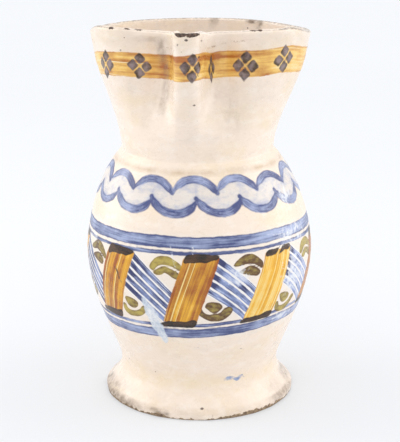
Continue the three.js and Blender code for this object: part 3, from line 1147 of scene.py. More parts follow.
    def strokes(self, ground: Ground, paths: tuple[Path, ...], half: float) -> np.ndarray:
        """Lays out thin strokes.

        Args:
            ground: the places to paint on.
            paths: their paths, as turn and level.
            half: half of their width.

        Returns:
            The depth in them.
        """
        depth = ground.blank()
        for path in paths:
            line = rounded_curve(np.array(path), 8, closed=False)
            levels = line[:, 1]
            picked = np.flatnonzero(ground.outside(levels.min() - 6.0, levels.max() + 6.0))
            if not len(picked):
                continue
            middle = float(np.mean(line[:, 0]))
            scale = DEGREE * float(ground.section.radius(float(np.mean(levels))))
            turns = wrapped(ground.turn[picked] - middle)
            places = np.stack([turns * scale, ground.section.climb(ground.level[picked])], axis=1)
            drawn = np.stack([wrapped(line[:, 0] - middle) * scale, ground.section.climb(levels)], axis=1)
            distance, share = distance_to_line(places, drawn)
            here = half * (1 - 0.6 * np.abs(2 * share - 1) ** 3) - distance
            depth[picked] = np.maximum(depth[picked], here)
        return depth

    def paint(self, ground: Ground) -> Fields:
        """Lays out all traces.

        Args:
            ground: the places to mark.

        Returns:
            The depth in each kind of trace.
        """
        foot = np.full(len(ground.turn), 1.1)
        for turn, width, height in self.worn:
            foot = foot + height * hump(wrapped(ground.turn - turn), width, 4)
        bare = np.where((ground.side == Side.OUTSIDE) & (ground.level < 12.0), foot - ground.level, UNPAINTED)
        bare = np.where(ground.side == Side.UNDERSIDE, 4.0, bare)
        rubbed = np.zeros(len(ground.turn))
        for turn, level, width, height in self.rubbed:
            spot = (wrapped(ground.turn - turn) / width) ** 2 + ((ground.level - level) / height) ** 2
            rubbed = np.maximum(rubbed, np.exp(-spot) * (ground.side == Side.OUTSIDE))
        front = 1 - smoothstep(np.abs(ground.turn), 50.0, 80.0)
        ridge = 240.8 - 1.0 * front
        crest = 1.3 - 1.05 * front - 0.5 * np.abs(ground.level - ridge)
        crest = np.where(ground.side == Side.LIP, crest, UNPAINTED)
        # One field holds both the caked dirt and the soft painted shade.
        over, soil = ground.level_down_inside(), np.zeros(len(ground.turn))
        for patches, power in ((self.caked, 4), (self.painted_shade, 2)):
            for turn, level, width, height, strength in patches:
                across, up = wrapped(ground.turn - turn) / width, (over - level) / height
                spot = np.abs(across) ** power + np.abs(up) ** power
                soil = np.maximum(soil, strength * np.exp(-spot) * (ground.side <= Side.INSIDE))
        return {
            "soil": soil,
            "run": self.strokes(ground, (self.run,), 3.5),
            "smudge": self.strokes(ground, (self.smudge,), 1.3),
            "blots": self.strokes(ground, self.blots, 0.62),
            "scratches": self.strokes(ground, self.scratches, 0.8),
            "hairlines": self.strokes(ground, self.hairlines, 0.75),
            "bare_foot": np.clip(bare, UNPAINTED, 4.0),
            "crest": np.clip(crest, UNPAINTED, 4.0),
            "rubbed": rubbed,
        }

    def chips(self, ground: Ground, chips: tuple[Chip, ...]) -> np.ndarray:
        """Lays out the broken places of the lip.

        Args:
            ground: the places to mark.
            chips: the chips that the body's mesh has.

        Returns:
            The depth in them.
        """
        depth = ground.blank()
        over = ground.level_down_inside()
        upper = (ground.side <= Side.INSIDE) & (ground.level > 225.0)
        for chip in chips:
            across = wrapped(ground.turn - chip.turn) * DEGREE * ground.mouth.reach
            reach = 0.5 * chip.width * DEGREE * ground.mouth.reach
            down = np.abs(over - chip.level)
            here = reach - np.hypot(across, down * reach / (1.2 + chip.depth))
            depth = np.where(upper, np.maximum(depth, here), depth)
        return depth


@dataclass(frozen=True)
class HandleStrokes:
    """The short blue strokes down the back of the handle."""

    first: float = 34.0
    pitch: float = 13.0
    count: int = 6
    half_length: float = 7.0
    half_stroke: float = 1.6

    def paint(self, ground: Ground) -> Fields:
        """Lays out the strokes.

        Args:
            ground: the places to paint on.

        Returns:
            The depth in them.
        """
        depth = ground.blank()
        strap = ground.side == Side.HANDLE
        for k in range(self.count):
            along = ground.level - (self.first + self.pitch * k) - 0.12 * ground.turn
            tip = self.half_length - 0.4 * k - np.abs(ground.turn)
            here = np.minimum(self.half_stroke - np.abs(along), tip)
            depth = np.where(strap, np.maximum(depth, here), depth)
        return {"strokes": depth}


def linear(code: str) -> tuple[float, float, float, float]:
    """Turns an sRGB hex colour into the linear colour that a shader takes.

    Args:
        code: six hex digits.

    Returns:
        Red, green, blue and alpha.
    """
    parts = [int(code[i : i + 2], 16) / 255.0 for i in (0, 2, 4)]
    return (*(c / 12.92 if c <= 0.04045 else ((c + 0.055) / 1.055) ** 2.4 for c in parts), 1.0)


def add(
    tree: bpy.types.NodeTree,
    kind: str,
    links: dict[int | str, Feed] | None = None,
    out: int | str = 0,
    **settings: str | bool,
) -> Socket | None:
    """Adds a shader node, sets it and joins it up.

    Args:
        tree: the material's node tree.
        kind: the node's type, without the words that every shader node's type starts with.
        links: each input, by name or number, with a value or a socket that feeds it.
        out: the output to hand back, by name or number.
        settings: the node's own properties.

    Returns:
        The output, or nothing for a node without one.
    """
    node = tree.nodes.new("ShaderNode" + kind)
    for key, value in settings.items():
        setattr(node, key, value)
    for key, value in (links or {}).items():
        if isinstance(value, Socket):
            tree.links.new(value, node.inputs[key])
        else:
            node.inputs[key].default_value = value
    return node.outputs[out] if len(node.outputs) else None


@dataclass(frozen=True)
class Bench:
    """A material's node tree in the making, with what its nodes start from."""

    tree: bpy.types.NodeTree
    place: Socket
    fields: dict[str, Socket]

    def noise(self, size: float, detail: float, offset: float = 0.0, place: Socket | None = None) -> Socket:
        """Adds a noise whose blots have a size in millimetres.

        Args:
            size: the blots' size.
            detail: how many finer octaves it has.
            offset: a shift that makes it differ from the others.
            place: the coordinates in metres, if not the object's own.

        Returns:
            Its factor.
        """
        start = self.place if place is None else place
        shift = (offset, 0.37 * offset, 1.7 * offset)
        moved = add(self.tree, "VectorMath", {0: start, 1: shift}, operation="ADD")
        links = {"Vector": moved, "Scale": 1000.0 / size, "Detail": detail, "Roughness": 0.55}
        return add(self.tree, "TexNoise", links)


@dataclass(frozen=True)
class Pigment:
    """A metal oxide brushed on the raw glaze: thin and thick colour, and how the brush left it."""

    mask: str
    thin: str
    thick: str
    opacity: float
    bias: str = ""
    across: str = "level"
    along: str = "arc"
    across_pitch: float = 1.4
    along_pitch: float = 16.0
    edge_blur: float = 0.28
    wobble: float = 0.3
    pooling: float = 0.45
    contrast: float = 1.0
    mottling: float = 0.3
    gleam: str = ""


@dataclass(frozen=True)
class TinGlaze:
    """Tin glaze over buff earthenware, fired glossy: warm uneven cream, with painted oxides in it."""

    cream: str = "F6E5D4"
    bright: str = "FDF1E4"
    blush: str = "F2DCB9"
    grey: str = "E2D4C6"
    stain_and_shade: str = "CDB497"
    dust: str = "C9BEB3"
    clay: str = "B39A7C"
    dark_clay: str = "5E4A3B"
    soot: str = "2E2422"
    roughness: float = 0.2
    ior: float = 1.52
    petal_reach: float = 3.25  # from the flower's middle to a petal's, along either slant
    petal_half: float = 2.85
    pigments: tuple[Pigment, ...] = (
        # The frieze's ground was glazed a second time and is whiter than the rest.
        Pigment(
            "frieze_bed", "F6EEE6", "F3E6D8", 0.6, across_pitch=6.0, along_pitch=12.0, edge_blur=1.5,
            pooling=0.0,
        ),
        # Antimony and iron ochre: streaky, from lemon to burnt orange along each pull of the brush.
        Pigment(
            "band", "F7C968", "B36412", 0.96, bias="band_bias", across_pitch=2.6, along_pitch=40.0,
            pooling=0.2, contrast=1.05, gleam="FBE6B4",
        ),
        # Cobalt thinned with water: a breath of blue between the arches.
        Pigment(
            "wash", "DDD9D6", "98A8CC", 0.64, bias="wash_bias", across_pitch=3.0, along_pitch=7.0,
            edge_blur=0.9, pooling=0.0, mottling=0.35,
        ),
        # Cobalt, one loaded stroke an arch, darkest where the brush lands and lifts.
        Pigment(
            "waves", "A0ACD0", "33437C", 0.95, bias="wave_bias", across="waves", across_pitch=1.1,
            along_pitch=10.0, edge_blur=0.45, pooling=0.3, mottling=0.45,
        ),
        # Cobalt lines drawn on the wheel: long streaks with dense edges.
        Pigment(
            "lines", "A6B3D6", "2E417A", 0.96, bias="line_bias", across_pitch=1.3, along_pitch=26.0,
            pooling=0.65,
        ),
        # Bare white glaze between the stripes, where the brush left no colour.
        Pigment("stripe_bed", "FAF7F5", "EEEBEA", 0.85, across_pitch=3.0, along_pitch=6.0, pooling=0.0),
        # Cobalt stripes, pulled down from the slat before.
        Pigment(
            "stripe", "8F9FCD", "16255F", 0.97, bias="stripe_bias", across="stripe_mm", across_pitch=1.4,
            along_pitch=9.0, edge_blur=0.2, wobble=0.25, pooling=0.2, mottling=0.5, gleam="DDE2EE",
        ),
        # Copper and iron: olive, brown where thick.
        Pigment(
            "scroll", "B7A34A", "5A3808", 0.97, bias="scroll_bias", across_pitch=2.4, along_pitch=5.0,
            wobble=0.2, edge_blur=0.22, pooling=0.3, contrast=0.8, mottling=0.35,
        ),
        # Iron ochre in parallel pulls down the slat, with yellow left between them.
        Pigment(
            "slat", "F0B426", "A05200", 0.98, bias="slat_bias", across="slat_across", along="level",
            across_pitch=2.5, along_pitch=60.0, pooling=0.1, contrast=1.15, mottling=0.25, gleam="FBE396",
        ),
        # Manganese: nearly black and slightly purple.
        Pigment(
            "cap", "553822", "060201", 0.99, across_pitch=1.6, along_pitch=5.0, pooling=0.3, contrast=0.9,
        ),
        # Specks of manganese that dripped off the brush.
        Pigment("blots", "5B463C", "2E211C", 0.9, across_pitch=2.0, along_pitch=3.0, wobble=0.5, pooling=0.0),
        # Cobalt strokes on the handle.
        Pigment("strokes", "97A7CF", "465A98", 0.92, across_pitch=2.0, along_pitch=9.0),
        # A smudge of cobalt that a finger left on the foot.
        Pigment(
            "smudge", "8FA9D0", "3F63A0", 0.85, across_pitch=0.8, along_pitch=3.0, wobble=0.8, pooling=0.0,
        ),
        # Glaze that ran in the kiln and carried a little blue with it.
        Pigment(
            "run", "ECEFF1", "BECBDB", 0.86, across_pitch=2.0, along_pitch=2.2, wobble=1.1, edge_blur=0.6,
            pooling=0.0,
        ),
    )

    def material(self) -> bpy.types.Material:
        """Builds the node material of the whole jug.

        Returns:
            The material.
        """
        material = bpy.data.materials.new("tin_glazed_earthenware")
        material.use_nodes = True
        tree = material.node_tree
        tree.nodes.clear()
        place = add(tree, "TexCoord", out="Object")
        names = {"level", "bloom", "petal_a", "petal_b", "stripe_across"}
        names |= {"bare_foot", "chips", "scratches", "hairlines", "crest", "rubbed", "soil"}
        for pigment in self.pigments:
            names |= {name for name in (pigment.mask, pigment.across, pigment.along, pigment.bias) if name}
        field_of = {name: add(tree, "Attribute", out="Fac", attribute_name=name) for name in sorted(names)}
        bench = Bench(tree, place, field_of)
        colour = self._ground(bench)
        for index, pigment in enumerate(self.pigments):
            colour = self._brushed(bench, pigment, index, colour)
            if pigment.mask == "band":
                colour = self._petals(bench, colour)
        scuff, crumbs = bench.noise(1.6, 3.0, 41.0), bench.noise(3.2, 5.0, 43.0)
        colour = self._scuffed(bench, colour, scuff, crumbs)
        colour, bare = self._bared(bench, colour, scuff, crumbs)
        self._surface(bench, colour, bare)
        return material

    def _ground(self, bench: Bench) -> Socket:
        """Mixes the glaze's colour: cream, with blush, thin greyish places and stains, and painted shade in
        the neck's crease.

        Args:
            bench: the node tree in the making.

        Returns:
            The colour.
        """
        tree, place, level = bench.tree, bench.place, bench.fields["level"]
        colour: Feed = linear(self.cream)
        # The clay's iron blushes through in clouds of a few centimetres. The neck's crease is darkened,
        # partly by a stain and partly as painted shade in the crease; the ankle takes a yellower tone, the
        # foot's edge a clay tone, and dust sits where hands and cloths have rubbed the collar.
        clouds = (
            (self.blush, 34.0, 0.46, 0.66, 0.5, 0.3),
            (self.bright, 9.0, 0.5, 0.7, 0.6, 8.3),
            (self.grey, 15.0, 0.54, 0.72, 0.35, 1.9),
            (self.dust, 2.2, 0.56, 0.76, 0.22, 9.9),
            (self.stain_and_shade, 6.0, 0.62, 0.78, 0.24, 3.1),
        )
        for code, size, low, high, strength, offset in clouds:
            flat = add(tree, "VectorMath", {0: place, 1: (1.0, 1.0, 1.8)}, operation="MULTIPLY")
            noise = bench.noise(size, 4.0, offset, flat)
            share = add(tree, "MapRange", {0: noise, 1: low, 2: high, 4: strength})
            colour = add(tree, "Mix", {0: share, 6: colour, 7: linear(code)}, data_type="RGBA", out=2)
        creases = (
            # the neck's crease: partly a stain, partly painted shade
            (159.6, 2.6, 0.85, self.stain_and_shade, 4.4),
            (21.0, 8.0, 0.6, self.blush, 5.5),
            (4.6, 2.6, 0.3, self.clay, 6.6),
            (233.0, 9.0, 0.3, self.dust, 7.7),
            (206.0, 20.0, 0.14, self.dust, 8.8),
        )
        for middle, reach, strength, code, offset in creases:
            away = add(tree, "Math", {0: level, 1: middle}, operation="SUBTRACT")
            away = add(tree, "Math", {0: away}, operation="ABSOLUTE")
            near = add(tree, "MapRange", {0: away, 1: reach, 2: 0.0, 4: strength})
            noise = bench.noise(9.0, 5.0, offset)
            patch = add(tree, "MapRange", {0: noise, 1: 0.38, 2: 0.66, 3: 0.35, 4: 1.0})
            share = add(tree, "Math", {0: near, 1: patch}, operation="MULTIPLY")
            colour = add(tree, "Mix", {0: share, 6: colour, 7: linear(code)}, data_type="RGBA", out=2)
        return colour

    def _brushed(self, bench: Bench, pigment: Pigment, index: int, below: Socket) -> Socket:
        """Lays one pigment over the colour below it.

        Args:
            bench: the node tree in the making.
            pigment: what is painted.
            index: its place in the order, which makes its noise differ.
            below: the colour below.

        Returns:
            The colour with the pigment.
        """
        tree, field_of = bench.tree, bench.fields
        depth = field_of[pigment.mask]
        if pigment.mask == "stripe":
            turns = add(tree, "Math", {0: field_of["stripe_across"]}, operation="FRACT")
            middle = add(tree, "Math", {0: turns, 1: 0.5}, operation="SUBTRACT")
            away = add(tree, "Math", {0: middle}, operation="ABSOLUTE")
            within = add(tree, "MapRange", {0: away, 1: 0.0, 2: 0.5, 3: 1.7, 4: -0.68})
            depth = add(tree, "Math", {0: depth, 1: within}, operation="MINIMUM")
        tremble = bench.noise(5.0, 2.0, 10.0 + index)
        shift = add(tree, "MapRange", {0: tremble, 3: -pigment.wobble * 2, 4: pigment.wobble * 2})
        uneven = add(tree, "Math", {0: depth, 1: shift}, operation="ADD")
        blur = pigment.edge_blur
        cover = add(tree, "MapRange", {0: uneven, 1: -blur, 2: blur, 4: pigment.opacity})
        # The brush's hairs: noise drawn out along the stroke, in real millimetres both ways.
        hairs = ((pigment.across, pigment.across_pitch), (pigment.along, pigment.along_pitch))
        across, along = (
            add(tree, "Math", {0: field_of[name], 1: 1 / pitch}, operation="MULTIPLY")
            for name, pitch in hairs
        )
        hair = add(tree, "CombineXYZ", {0: across, 1: along, 2: 3.7 * index})
        streak = add(tree, "TexNoise", {"Vector": hair, "Scale": 1.0, "Detail": 3.0, "Roughness": 0.6})
        cloud = bench.noise(11.0, 3.0, 20.0 + index)
        reach, cloudy = 0.2 / pigment.contrast, pigment.mottling
        streak = add(tree, "MapRange", {0: streak, 1: 0.5 - reach, 2: 0.5 + reach})
        cloud = add(tree, "MapRange", {0: cloud, 1: 0.32, 2: 0.68, 3: -cloudy, 4: cloudy})
        tone = add(tree, "Math", {0: streak, 1: cloud}, operation="ADD")
        if pigment.bias:
            tone = add(tree, "Math", {0: tone, 1: field_of[pigment.bias]}, operation="ADD")
        pool = add(tree, "MapRange", {0: uneven, 1: 0.1, 2: 1.2, 3: pigment.pooling, 4: 0.0})
        tone = add(tree, "Math", {0: tone, 1: pool}, operation="ADD")
        paint = add(
            tree, "Mix", {0: tone, 6: linear(pigment.thin), 7: linear(pigment.thick)}, data_type="RGBA", out=2
        )
        if pigment.gleam:
            gap = self._gaps(tree, hair, tone)
            paint = add(tree, "Mix", {0: gap, 6: paint, 7: linear(pigment.gleam)}, data_type="RGBA", out=2)
        return add(tree, "Mix", {0: cover, 6: below, 7: paint}, data_type="RGBA", out=2)

    def _gaps(self, tree: bpy.types.NodeTree, hair: Socket, tone: Socket) -> Socket:
        """Finds where a dry brush leaves the white glaze bare.

        Args:
            tree: the material's node tree.
            hair: places measured along and across the brush's hairs.
            tone: how much pigment lies there.

        Returns:
            How bare the glaze is, from 0 to 1.
        """
        fine = add(tree, "VectorMath", {0: hair, 1: (1.9, 0.35, 5.0)}, operation="MULTIPLY")
        gap = add(tree, "TexNoise", {"Vector": fine, "Scale": 1.0, "Detail": 0.0})
        gap = add(tree, "MapRange", {0: gap, 1: 0.68, 2: 0.75, 4: 0.85})
        pale = add(tree, "MapRange", {0: tone, 1: -0.6, 2: 0.05, 3: 0.85, 4: 0.0})
        return add(tree, "Math", {0: gap, 1: pale}, operation="MAXIMUM")

    def _petals(self, bench: Bench, below: Socket) -> Socket:
        """Lays the four-petalled flowers over the band, each petal a lozenge with a paler heart.

        Args:
            bench: the node tree in the making.
            below: the colour below.

        Returns:
            The colour with the flowers.
        """
        tree, field_of = bench.tree, bench.fields
        reach, half = self.petal_reach, self.petal_half
        tremble = bench.noise(3.0, 2.0, 33.0)
        shift = add(tree, "MapRange", {0: tremble, 3: -0.7, 4: 0.7})
        sides = []
        for name in ("petal_a", "petal_b"):
            size = add(tree, "Math", {0: field_of[name]}, operation="ABSOLUTE")
            off = add(tree, "Math", {0: size, 1: reach}, operation="SUBTRACT")
            sides.append(add(tree, "Math", {0: off}, operation="ABSOLUTE"))
        square = add(tree, "Math", {0: sides[0], 1: sides[1], 2: 2.2}, operation="SMOOTH_MAX")
        inside = add(tree, "Math", {0: half, 1: square}, operation="SUBTRACT")
        inside = add(tree, "Math", {0: inside, 1: shift}, operation="ADD")
        inside = add(tree, "Math", {0: inside, 1: field_of["bloom"]}, operation="MINIMUM")
        cover = add(tree, "MapRange", {0: inside, 1: -0.3, 2: 0.3, 4: 0.93})
        blot = bench.noise(4.6, 3.0, 35.0)
        heart = add(tree, "MapRange", {0: inside, 1: 0.7, 2: 2.4, 4: 0.5})
        tone = add(tree, "MapRange", {0: blot, 1: 0.36, 2: 0.64, 3: -0.1, 4: 0.75})
        tone = add(tree, "Math", {0: tone, 1: heart}, operation="ADD", use_clamp=True)
        paint = add(tree, "Mix", {0: tone, 6: linear("1F1110"), 7: linear("8C7C82")}, data_type="RGBA", out=2)
        return add(tree, "Mix", {0: cover, 6: below, 7: paint}, data_type="RGBA", out=2)

    def _scuffed(self, bench: Bench, below: Socket, scuff: Socket, crumbs: Socket) -> Socket:
        """Scratches, soils and rubs the glaze, darkens the neck's hollows and the foot's edge with painted
        shade, and breaks it with pinholes.

        Args:
            bench: the node tree in the making.
            below: the painted colour.
            scuff: the finer noise that breaks up all wear.
            crumbs: the coarser one.

        Returns:
            The colour.
        """
        tree, field_of, colour = bench.tree, bench.fields, below
        for name, code, low, high, strength in (
            ("scratches", "E9ECF0", 0.42, 0.6, 0.8),
            ("hairlines", "9C7A5C", 0.45, 0.62, 0.65),
            ("crest", "7D6E62", 0.3, 0.56, 0.8),
        ):
            here = add(tree, "MapRange", {0: field_of[name], 1: -0.1, 2: 0.4, 4: strength})
            broken = add(tree, "MapRange", {0: scuff, 1: low, 2: high})
            share = add(tree, "Math", {0: here, 1: broken}, operation="MULTIPLY")
            colour = add(tree, "Mix", {0: share, 6: colour, 7: linear(code)}, data_type="RGBA", out=2)
        # Dirt in the left fold of the spout, on the lip and along the foot, and soft painted shade in the
        # neck's pinch hollows and along the foot's edge.
        dirt_and_shade = add(tree, "MapRange", {0: crumbs, 1: 0.36, 2: 0.6, 3: 0.45, 4: 1.0})
        dirt_and_shade = add(tree, "Math", {0: dirt_and_shade, 1: field_of["soil"]}, operation="MULTIPLY")
        colour = add(tree, "Mix", {0: dirt_and_shade, 6: colour, 7: linear("877462")}, data_type="RGBA", out=2)
        # Glaze rubbed down to white in patches, through the blue and the ochre.
        rub = add(tree, "Math", {0: field_of["rubbed"], 1: 0.36}, operation="MULTIPLY")
        rub = add(tree, "Math", {0: crumbs, 1: rub}, operation="ADD")
        rub = add(tree, "MapRange", {0: rub, 1: 0.72, 2: 0.9, 4: 0.7})
        colour = add(tree, "Mix", {0: rub, 6: colour, 7: linear("EEF0F4")}, data_type="RGBA", out=2)
        return self._pinholes(bench, colour)

    def _pinholes(self, bench: Bench, below: Socket) -> Socket:
        """Breaks the glaze with pinholes, as lime and bubbles do, a third of a millimetre to one across.

        Args:
            bench: the node tree in the making.
            below: the colour below.

        Returns:
            The colour with the pinholes.
        """
        tree, place, colour = bench.tree, bench.place, below
        for pitch, rare, largest in ((13.0, 0.62, 0.055), (6.5, 0.8, 0.06)):
            cells = add(tree, "TexVoronoi", {"Vector": place, "Scale": 1000.0 / pitch}).node
            lot = add(tree, "SeparateColor", {0: cells.outputs["Color"]})
            size = add(tree, "MapRange", {0: lot, 1: rare, 2: 1.0, 4: largest})
            pit = add(tree, "Math", {0: size, 1: cells.outputs["Distance"]}, operation="SUBTRACT")
            pit = add(tree, "MapRange", {0: pit, 1: 0.0, 2: 0.012, 4: 0.85})
            colour = add(tree, "Mix", {0: pit, 6: colour, 7: linear(self.dark_clay)}, data_type="RGBA", out=2)
        return colour

    def _bared(self, bench: Bench, below: Socket, scuff: Socket, crumbs: Socket) -> tuple[Socket, Socket]:
        """Lays the clay bare on the foot's edge and in the chips.

        Args:
            bench: the node tree in the making.
            below: the colour below.
            scuff: the finer noise that breaks up all wear.
            crumbs: the coarser one.

        Returns:
            The colour, and how bare the clay is, from 0 to 1.
        """
        tree, field_of, colour = bench.tree, bench.fields, below
        bare: Feed = 0.0
        for name, rough in (("bare_foot", 1.1), ("chips", 1.2)):
            shift = add(tree, "MapRange", {0: crumbs, 1: 0.3, 2: 0.7, 3: -rough, 4: rough})
            depth = add(tree, "Math", {0: field_of[name], 1: shift}, operation="ADD")
            here = add(tree, "MapRange", {0: depth, 1: 0.0, 2: 0.35})
            if name == "chips":
                broken = here
            bare = add(tree, "Math", {0: bare, 1: here}, operation="MAXIMUM")
        grain = add(tree, "MapRange", {0: scuff, 1: 0.3, 2: 0.7})
        clay = add(
            tree, "Mix", {0: grain, 6: linear(self.dark_clay), 7: linear(self.clay)}, data_type="RGBA", out=2
        )
        colour = add(tree, "Mix", {0: bare, 6: colour, 7: clay}, data_type="RGBA", out=2)
        # Old chips have taken up dirt and are much darker than clay that is rubbed each day.
        fresh = add(
            tree, "Mix", {0: grain, 6: linear(self.soot), 7: linear("80695A")}, data_type="RGBA", out=2
        )
        colour = add(tree, "Mix", {0: broken, 6: colour, 7: fresh}, data_type="RGBA", out=2)
        return colour, bare

    def _surface(self, bench: Bench, colour: Socket, bare: Socket) -> None:
        """Joins colour, gloss and fine relief to the shader.

        Args:
            bench: the node tree in the making.
            colour: the finished colour.
            bare: how bare the clay is.
        """
        # Fired tin glaze is a glass: gloss that varies a little with its thickness, over an orange-peel skin
        # of about 4 mm waves. Bare clay is dull and gritty.
        tree = bench.tree
        film = bench.noise(12.0, 4.0, 51.0)
        gloss = add(tree, "MapRange", {0: film, 1: 0.3, 2: 0.7, 3: self.roughness, 4: self.roughness + 0.16})
        gloss = add(tree, "Mix", {0: bare, 2: gloss, 3: 0.86})
        peel = bench.noise(4.0, 3.0, 53.0)
        grit = bench.noise(0.9, 4.0, 55.0)
        soft = add(tree, "Bump", {"Height": peel, "Strength": 0.12, "Distance": 0.0004})
        strength = add(tree, "MapRange", {0: bare, 3: 0.02, 4: 0.6})
        relief = add(tree, "Bump", {"Height": grit, "Strength": strength, "Distance": 0.0005, "Normal": soft})
        shader = add(
            tree,
            "BsdfPrincipled",
            {"Base Color": colour, "Roughness": gloss, "Normal": relief, "IOR": self.ior, "Metallic": 0.0},
        )
        add(tree, "OutputMaterial", {"Surface": shader})


@dataclass(frozen=True)
class Jug:
    """The whole jug: body and handle as one fired piece, painted and glazed."""

    section: Section = Section()
    mouth: Mouth = Mouth()
    bed_low: float = 57.0  # the frieze's bed reaches from this level
    bed_high: float = 124.5  # up to this one
    arc_radius: float = 73.0  # the radius at which turns become lengths of arc

    def build(self) -> bpy.types.Object:
        """Builds the jug's mesh and lays out its painting.

        Returns:
            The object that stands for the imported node.
        """
        body_form = ThrownBody(self.section, self.mouth)
        skins = (body_form.skin(), StrapHandle(self.section).skin())
        body, strap = (skin.to_object(name) for skin, name in zip(skins, ("jug_glazed", "strap")))
        self._lute(body, strap)
        ground = self._ground(body, skins)
        fields = {}
        for layer in (BorderLines(), WaveBand(), RibbonFrieze(), CollarBand(), Traces(), HandleStrokes()):
            fields.update(layer.paint(ground))
        fields["chips"] = Traces().chips(ground, body_form.chips)
        outside = ground.side == Side.OUTSIDE
        bed = np.minimum(ground.level - self.bed_low, self.bed_high - ground.level)
        fields["frieze_bed"] = np.where(outside, bed, UNPAINTED)
        fields["stripe_bed"] = fields["stripe"]
        fields["stripe_mm"] = fields["stripe_across"] * RibbonFrieze().stripe_pitch
        fields["level"] = ground.level
        fields["arc"] = ground.turn * DEGREE * self.arc_radius
        brushed = ("lines", "waves", "slat", "cap", "stripe", "scroll", "band", "run", "smudge")
        for name in (*brushed, "scratches", "hairlines"):
            fields[name] = np.clip(fields[name], UNPAINTED, DEEPEST)
        mesh = body.data
        for name, values in fields.items():
            layer = mesh.attributes.new(name, "FLOAT", "POINT")
            layer.data.foreach_set("value", values.astype(np.float32))
        mesh.polygons.foreach_set("use_smooth", np.ones(len(mesh.polygons), bool))
        mesh.materials.clear()
        mesh.materials.append(TinGlaze().material())
        LOG.info("jug_glazed: %d points, %d faces", len(mesh.vertices), len(mesh.polygons))
        return body

    def _lute(self, body: bpy.types.Object, strap: bpy.types.Object) -> None:
        """Joins the handle to the body as one closed mesh.

        Args:
            body: the body, which receives the handle.
            strap: the handle, which is removed afterwards.
        """
        union = body.modifiers.new("luted", "BOOLEAN")
        union.operation = "UNION"
        union.solver = "EXACT"
        union.object = strap
        made = body.evaluated_get(bpy.context.evaluated_depsgraph_get())
        joined = bpy.data.meshes.new_from_object(made)
        body.modifiers.clear()
        body.data = joined
        bpy.data.objects.remove(strap)

    def _ground(self, body: bpy.types.Object, skins: tuple[Skin, ...]) -> Ground:
        """Finds the places of the joined mesh's points.

        Args:
            body: the joined jug.
            skins: the meshes that it was joined from.

        Returns:
            The places. A point that the joining made takes those of its nearest neighbour.
        """
        known = np.concatenate([skin.points for skin in skins]) * MM
        tree = kdtree.KDTree(len(known))
        for index, point in enumerate(known):
            tree.insert(point, index)
        tree.balance()
        nearest = np.array([tree.find(vertex.co)[1] for vertex in body.data.vertices])
        known_at = ((skin.turn, skin.level, skin.girth, skin.side) for skin in skins)
        turn, level, girth, side = (np.concatenate(values)[nearest] for values in zip(*known_at))
        return Ground(turn, level, girth, side, self.section, self.mouth)


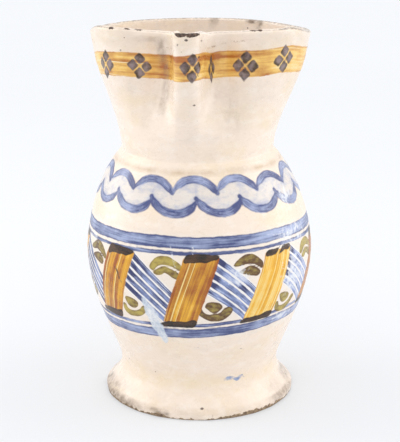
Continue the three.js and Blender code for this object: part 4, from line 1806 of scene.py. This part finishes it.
@dataclass(frozen=True)
class Studio:
    """The pale studio: floor, soft lights and the camera of the photograph."""

    distance: float = 803.6
    height: float = 338.4
    pitch: float = 0.2717
    turn: float = 7.5
    sideways: float = 0.5
    focal_pixels: float = 1265.3
    frame_height: int = 442
    sensor: float = 36.0
    floor_half: float = 6.0  # metres, so far that no view sees the paper's end near the jug

    def build(self) -> None:
        """Sets up the floor, the lights and the camera."""
        self._floor()
        self._room()
        self._lamp("softbox_right", (0.95, 0.22, 0.45), 0.13, (0.7, 0.9), 2.8)
        self._lamp("softbox_left", (-0.95, 0.1, 0.5), 0.13, (0.7, 0.9), 3.1)
        self._lamp("softbox_above", (0.0, -0.25, 1.2), 0.1, (0.9, 0.9), 1.2)
        self._camera()
        LOG.info("studio: floor, lights and camera")

    def _floor(self) -> None:
        """Lays the pale floor."""
        mesh = bpy.data.meshes.new("studio_floor")
        half = self.floor_half
        points = [(-half, -half, 0.0), (half, -half, 0.0), (half, half, 0.0), (-half, half, 0.0)]
        mesh.from_pydata(points, [], [(0, 1, 2, 3)])
        floor = bpy.data.objects.new("studio_floor", mesh)
        bpy.context.scene.collection.objects.link(floor)
        material = bpy.data.materials.new("seamless_paper")
        material.use_nodes = True
        tree = material.node_tree
        tree.nodes.clear()
        # Matt white paper, lit a little by itself, so that hardly a shadow is left on it.
        place = add(tree, "TexCoord", out="Object")
        fibre = add(tree, "TexNoise", {"Vector": place, "Scale": 3.0, "Detail": 2.0})
        tint = add(tree, "Mix", {0: fibre, 6: linear("B4B6B9"), 7: linear("B8BABD")}, data_type="RGBA", out=2)
        depth = add(tree, "SeparateXYZ", {0: place}, out=1)
        glow = add(tree, "MapRange", {0: depth, 1: -0.2, 2: 1.6, 3: 0.365, 4: 0.455})
        links = {"Base Color": tint, "Roughness": 0.95}
        links |= {"Emission Color": linear("F9FAFC"), "Emission Strength": glow}
        shader = add(tree, "BsdfPrincipled", links)
        add(tree, "OutputMaterial", {"Surface": shader})
        mesh.materials.append(material)

    def _room(self) -> None:
        """Fills the room with even light, a little dimmer where the photographer stands."""
        world = bpy.data.worlds.new("studio_room")
        world.use_nodes = True
        tree = world.node_tree
        tree.nodes.clear()
        way = add(tree, "TexCoord", out="Generated")
        depth = add(tree, "SeparateXYZ", {0: way}, out=1)
        power = add(tree, "MapRange", {0: depth, 1: -0.9, 2: 0.2, 3: 1.03, 4: 1.04})
        light = add(tree, "Background", {"Color": linear("FAFBFD"), "Strength": power})
        add(tree, "OutputWorld", {"Surface": light})
        bpy.context.scene.world = world
        bpy.context.scene.view_settings.view_transform = "Standard"

    def _lamp(self, name: str, at: Place, aim: float, size: Pair, power: float) -> None:
        """Hangs one soft box.

        Args:
            name: its name.
            at: where it hangs, in metres.
            aim: the height on the jug's axis that it points at, in metres.
            size: its width and height.
            power: its power in watts.
        """
        lamp = bpy.data.lights.new(name, "AREA")
        lamp.shape = "RECTANGLE"
        lamp.size, lamp.size_y = size
        lamp.energy = power
        lamp.color = (1.0, 0.985, 0.96)
        holder = bpy.data.objects.new(name, lamp)
        holder.location = at
        holder.rotation_euler = (Vector((0.0, 0.0, aim)) - Vector(at)).to_track_quat("-Z", "Y").to_euler()
        bpy.context.scene.collection.objects.link(holder)

    def _camera(self) -> None:
        """Places the camera where the photograph was taken from."""
        turn = math.radians(self.turn)
        data = bpy.data.cameras.new("photograph")
        data.sensor_width = self.sensor
        data.lens = self.focal_pixels * self.sensor / self.frame_height
        camera = bpy.data.objects.new("photograph", data)
        right = Vector((math.cos(turn), math.sin(turn), 0.0))
        back = Vector((math.sin(turn), -math.cos(turn), 0.0))
        on_floor = (back * self.distance + right * self.sideways) * MM
        camera.location = on_floor + Vector((0.0, 0.0, self.height * MM))
        camera.rotation_euler = (math.pi / 2 - self.pitch, 0.0, turn)
        bpy.context.scene.collection.objects.link(camera)
        bpy.context.scene.camera = camera


def main() -> None:
    """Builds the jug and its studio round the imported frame."""
    logging.basicConfig(level=logging.INFO, format="%(name)s: %(message)s")
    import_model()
    Studio().build()
    jug = Jug().build()
    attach(jug, "root")
    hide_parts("jug")


if __name__ == "__main__":
    main()
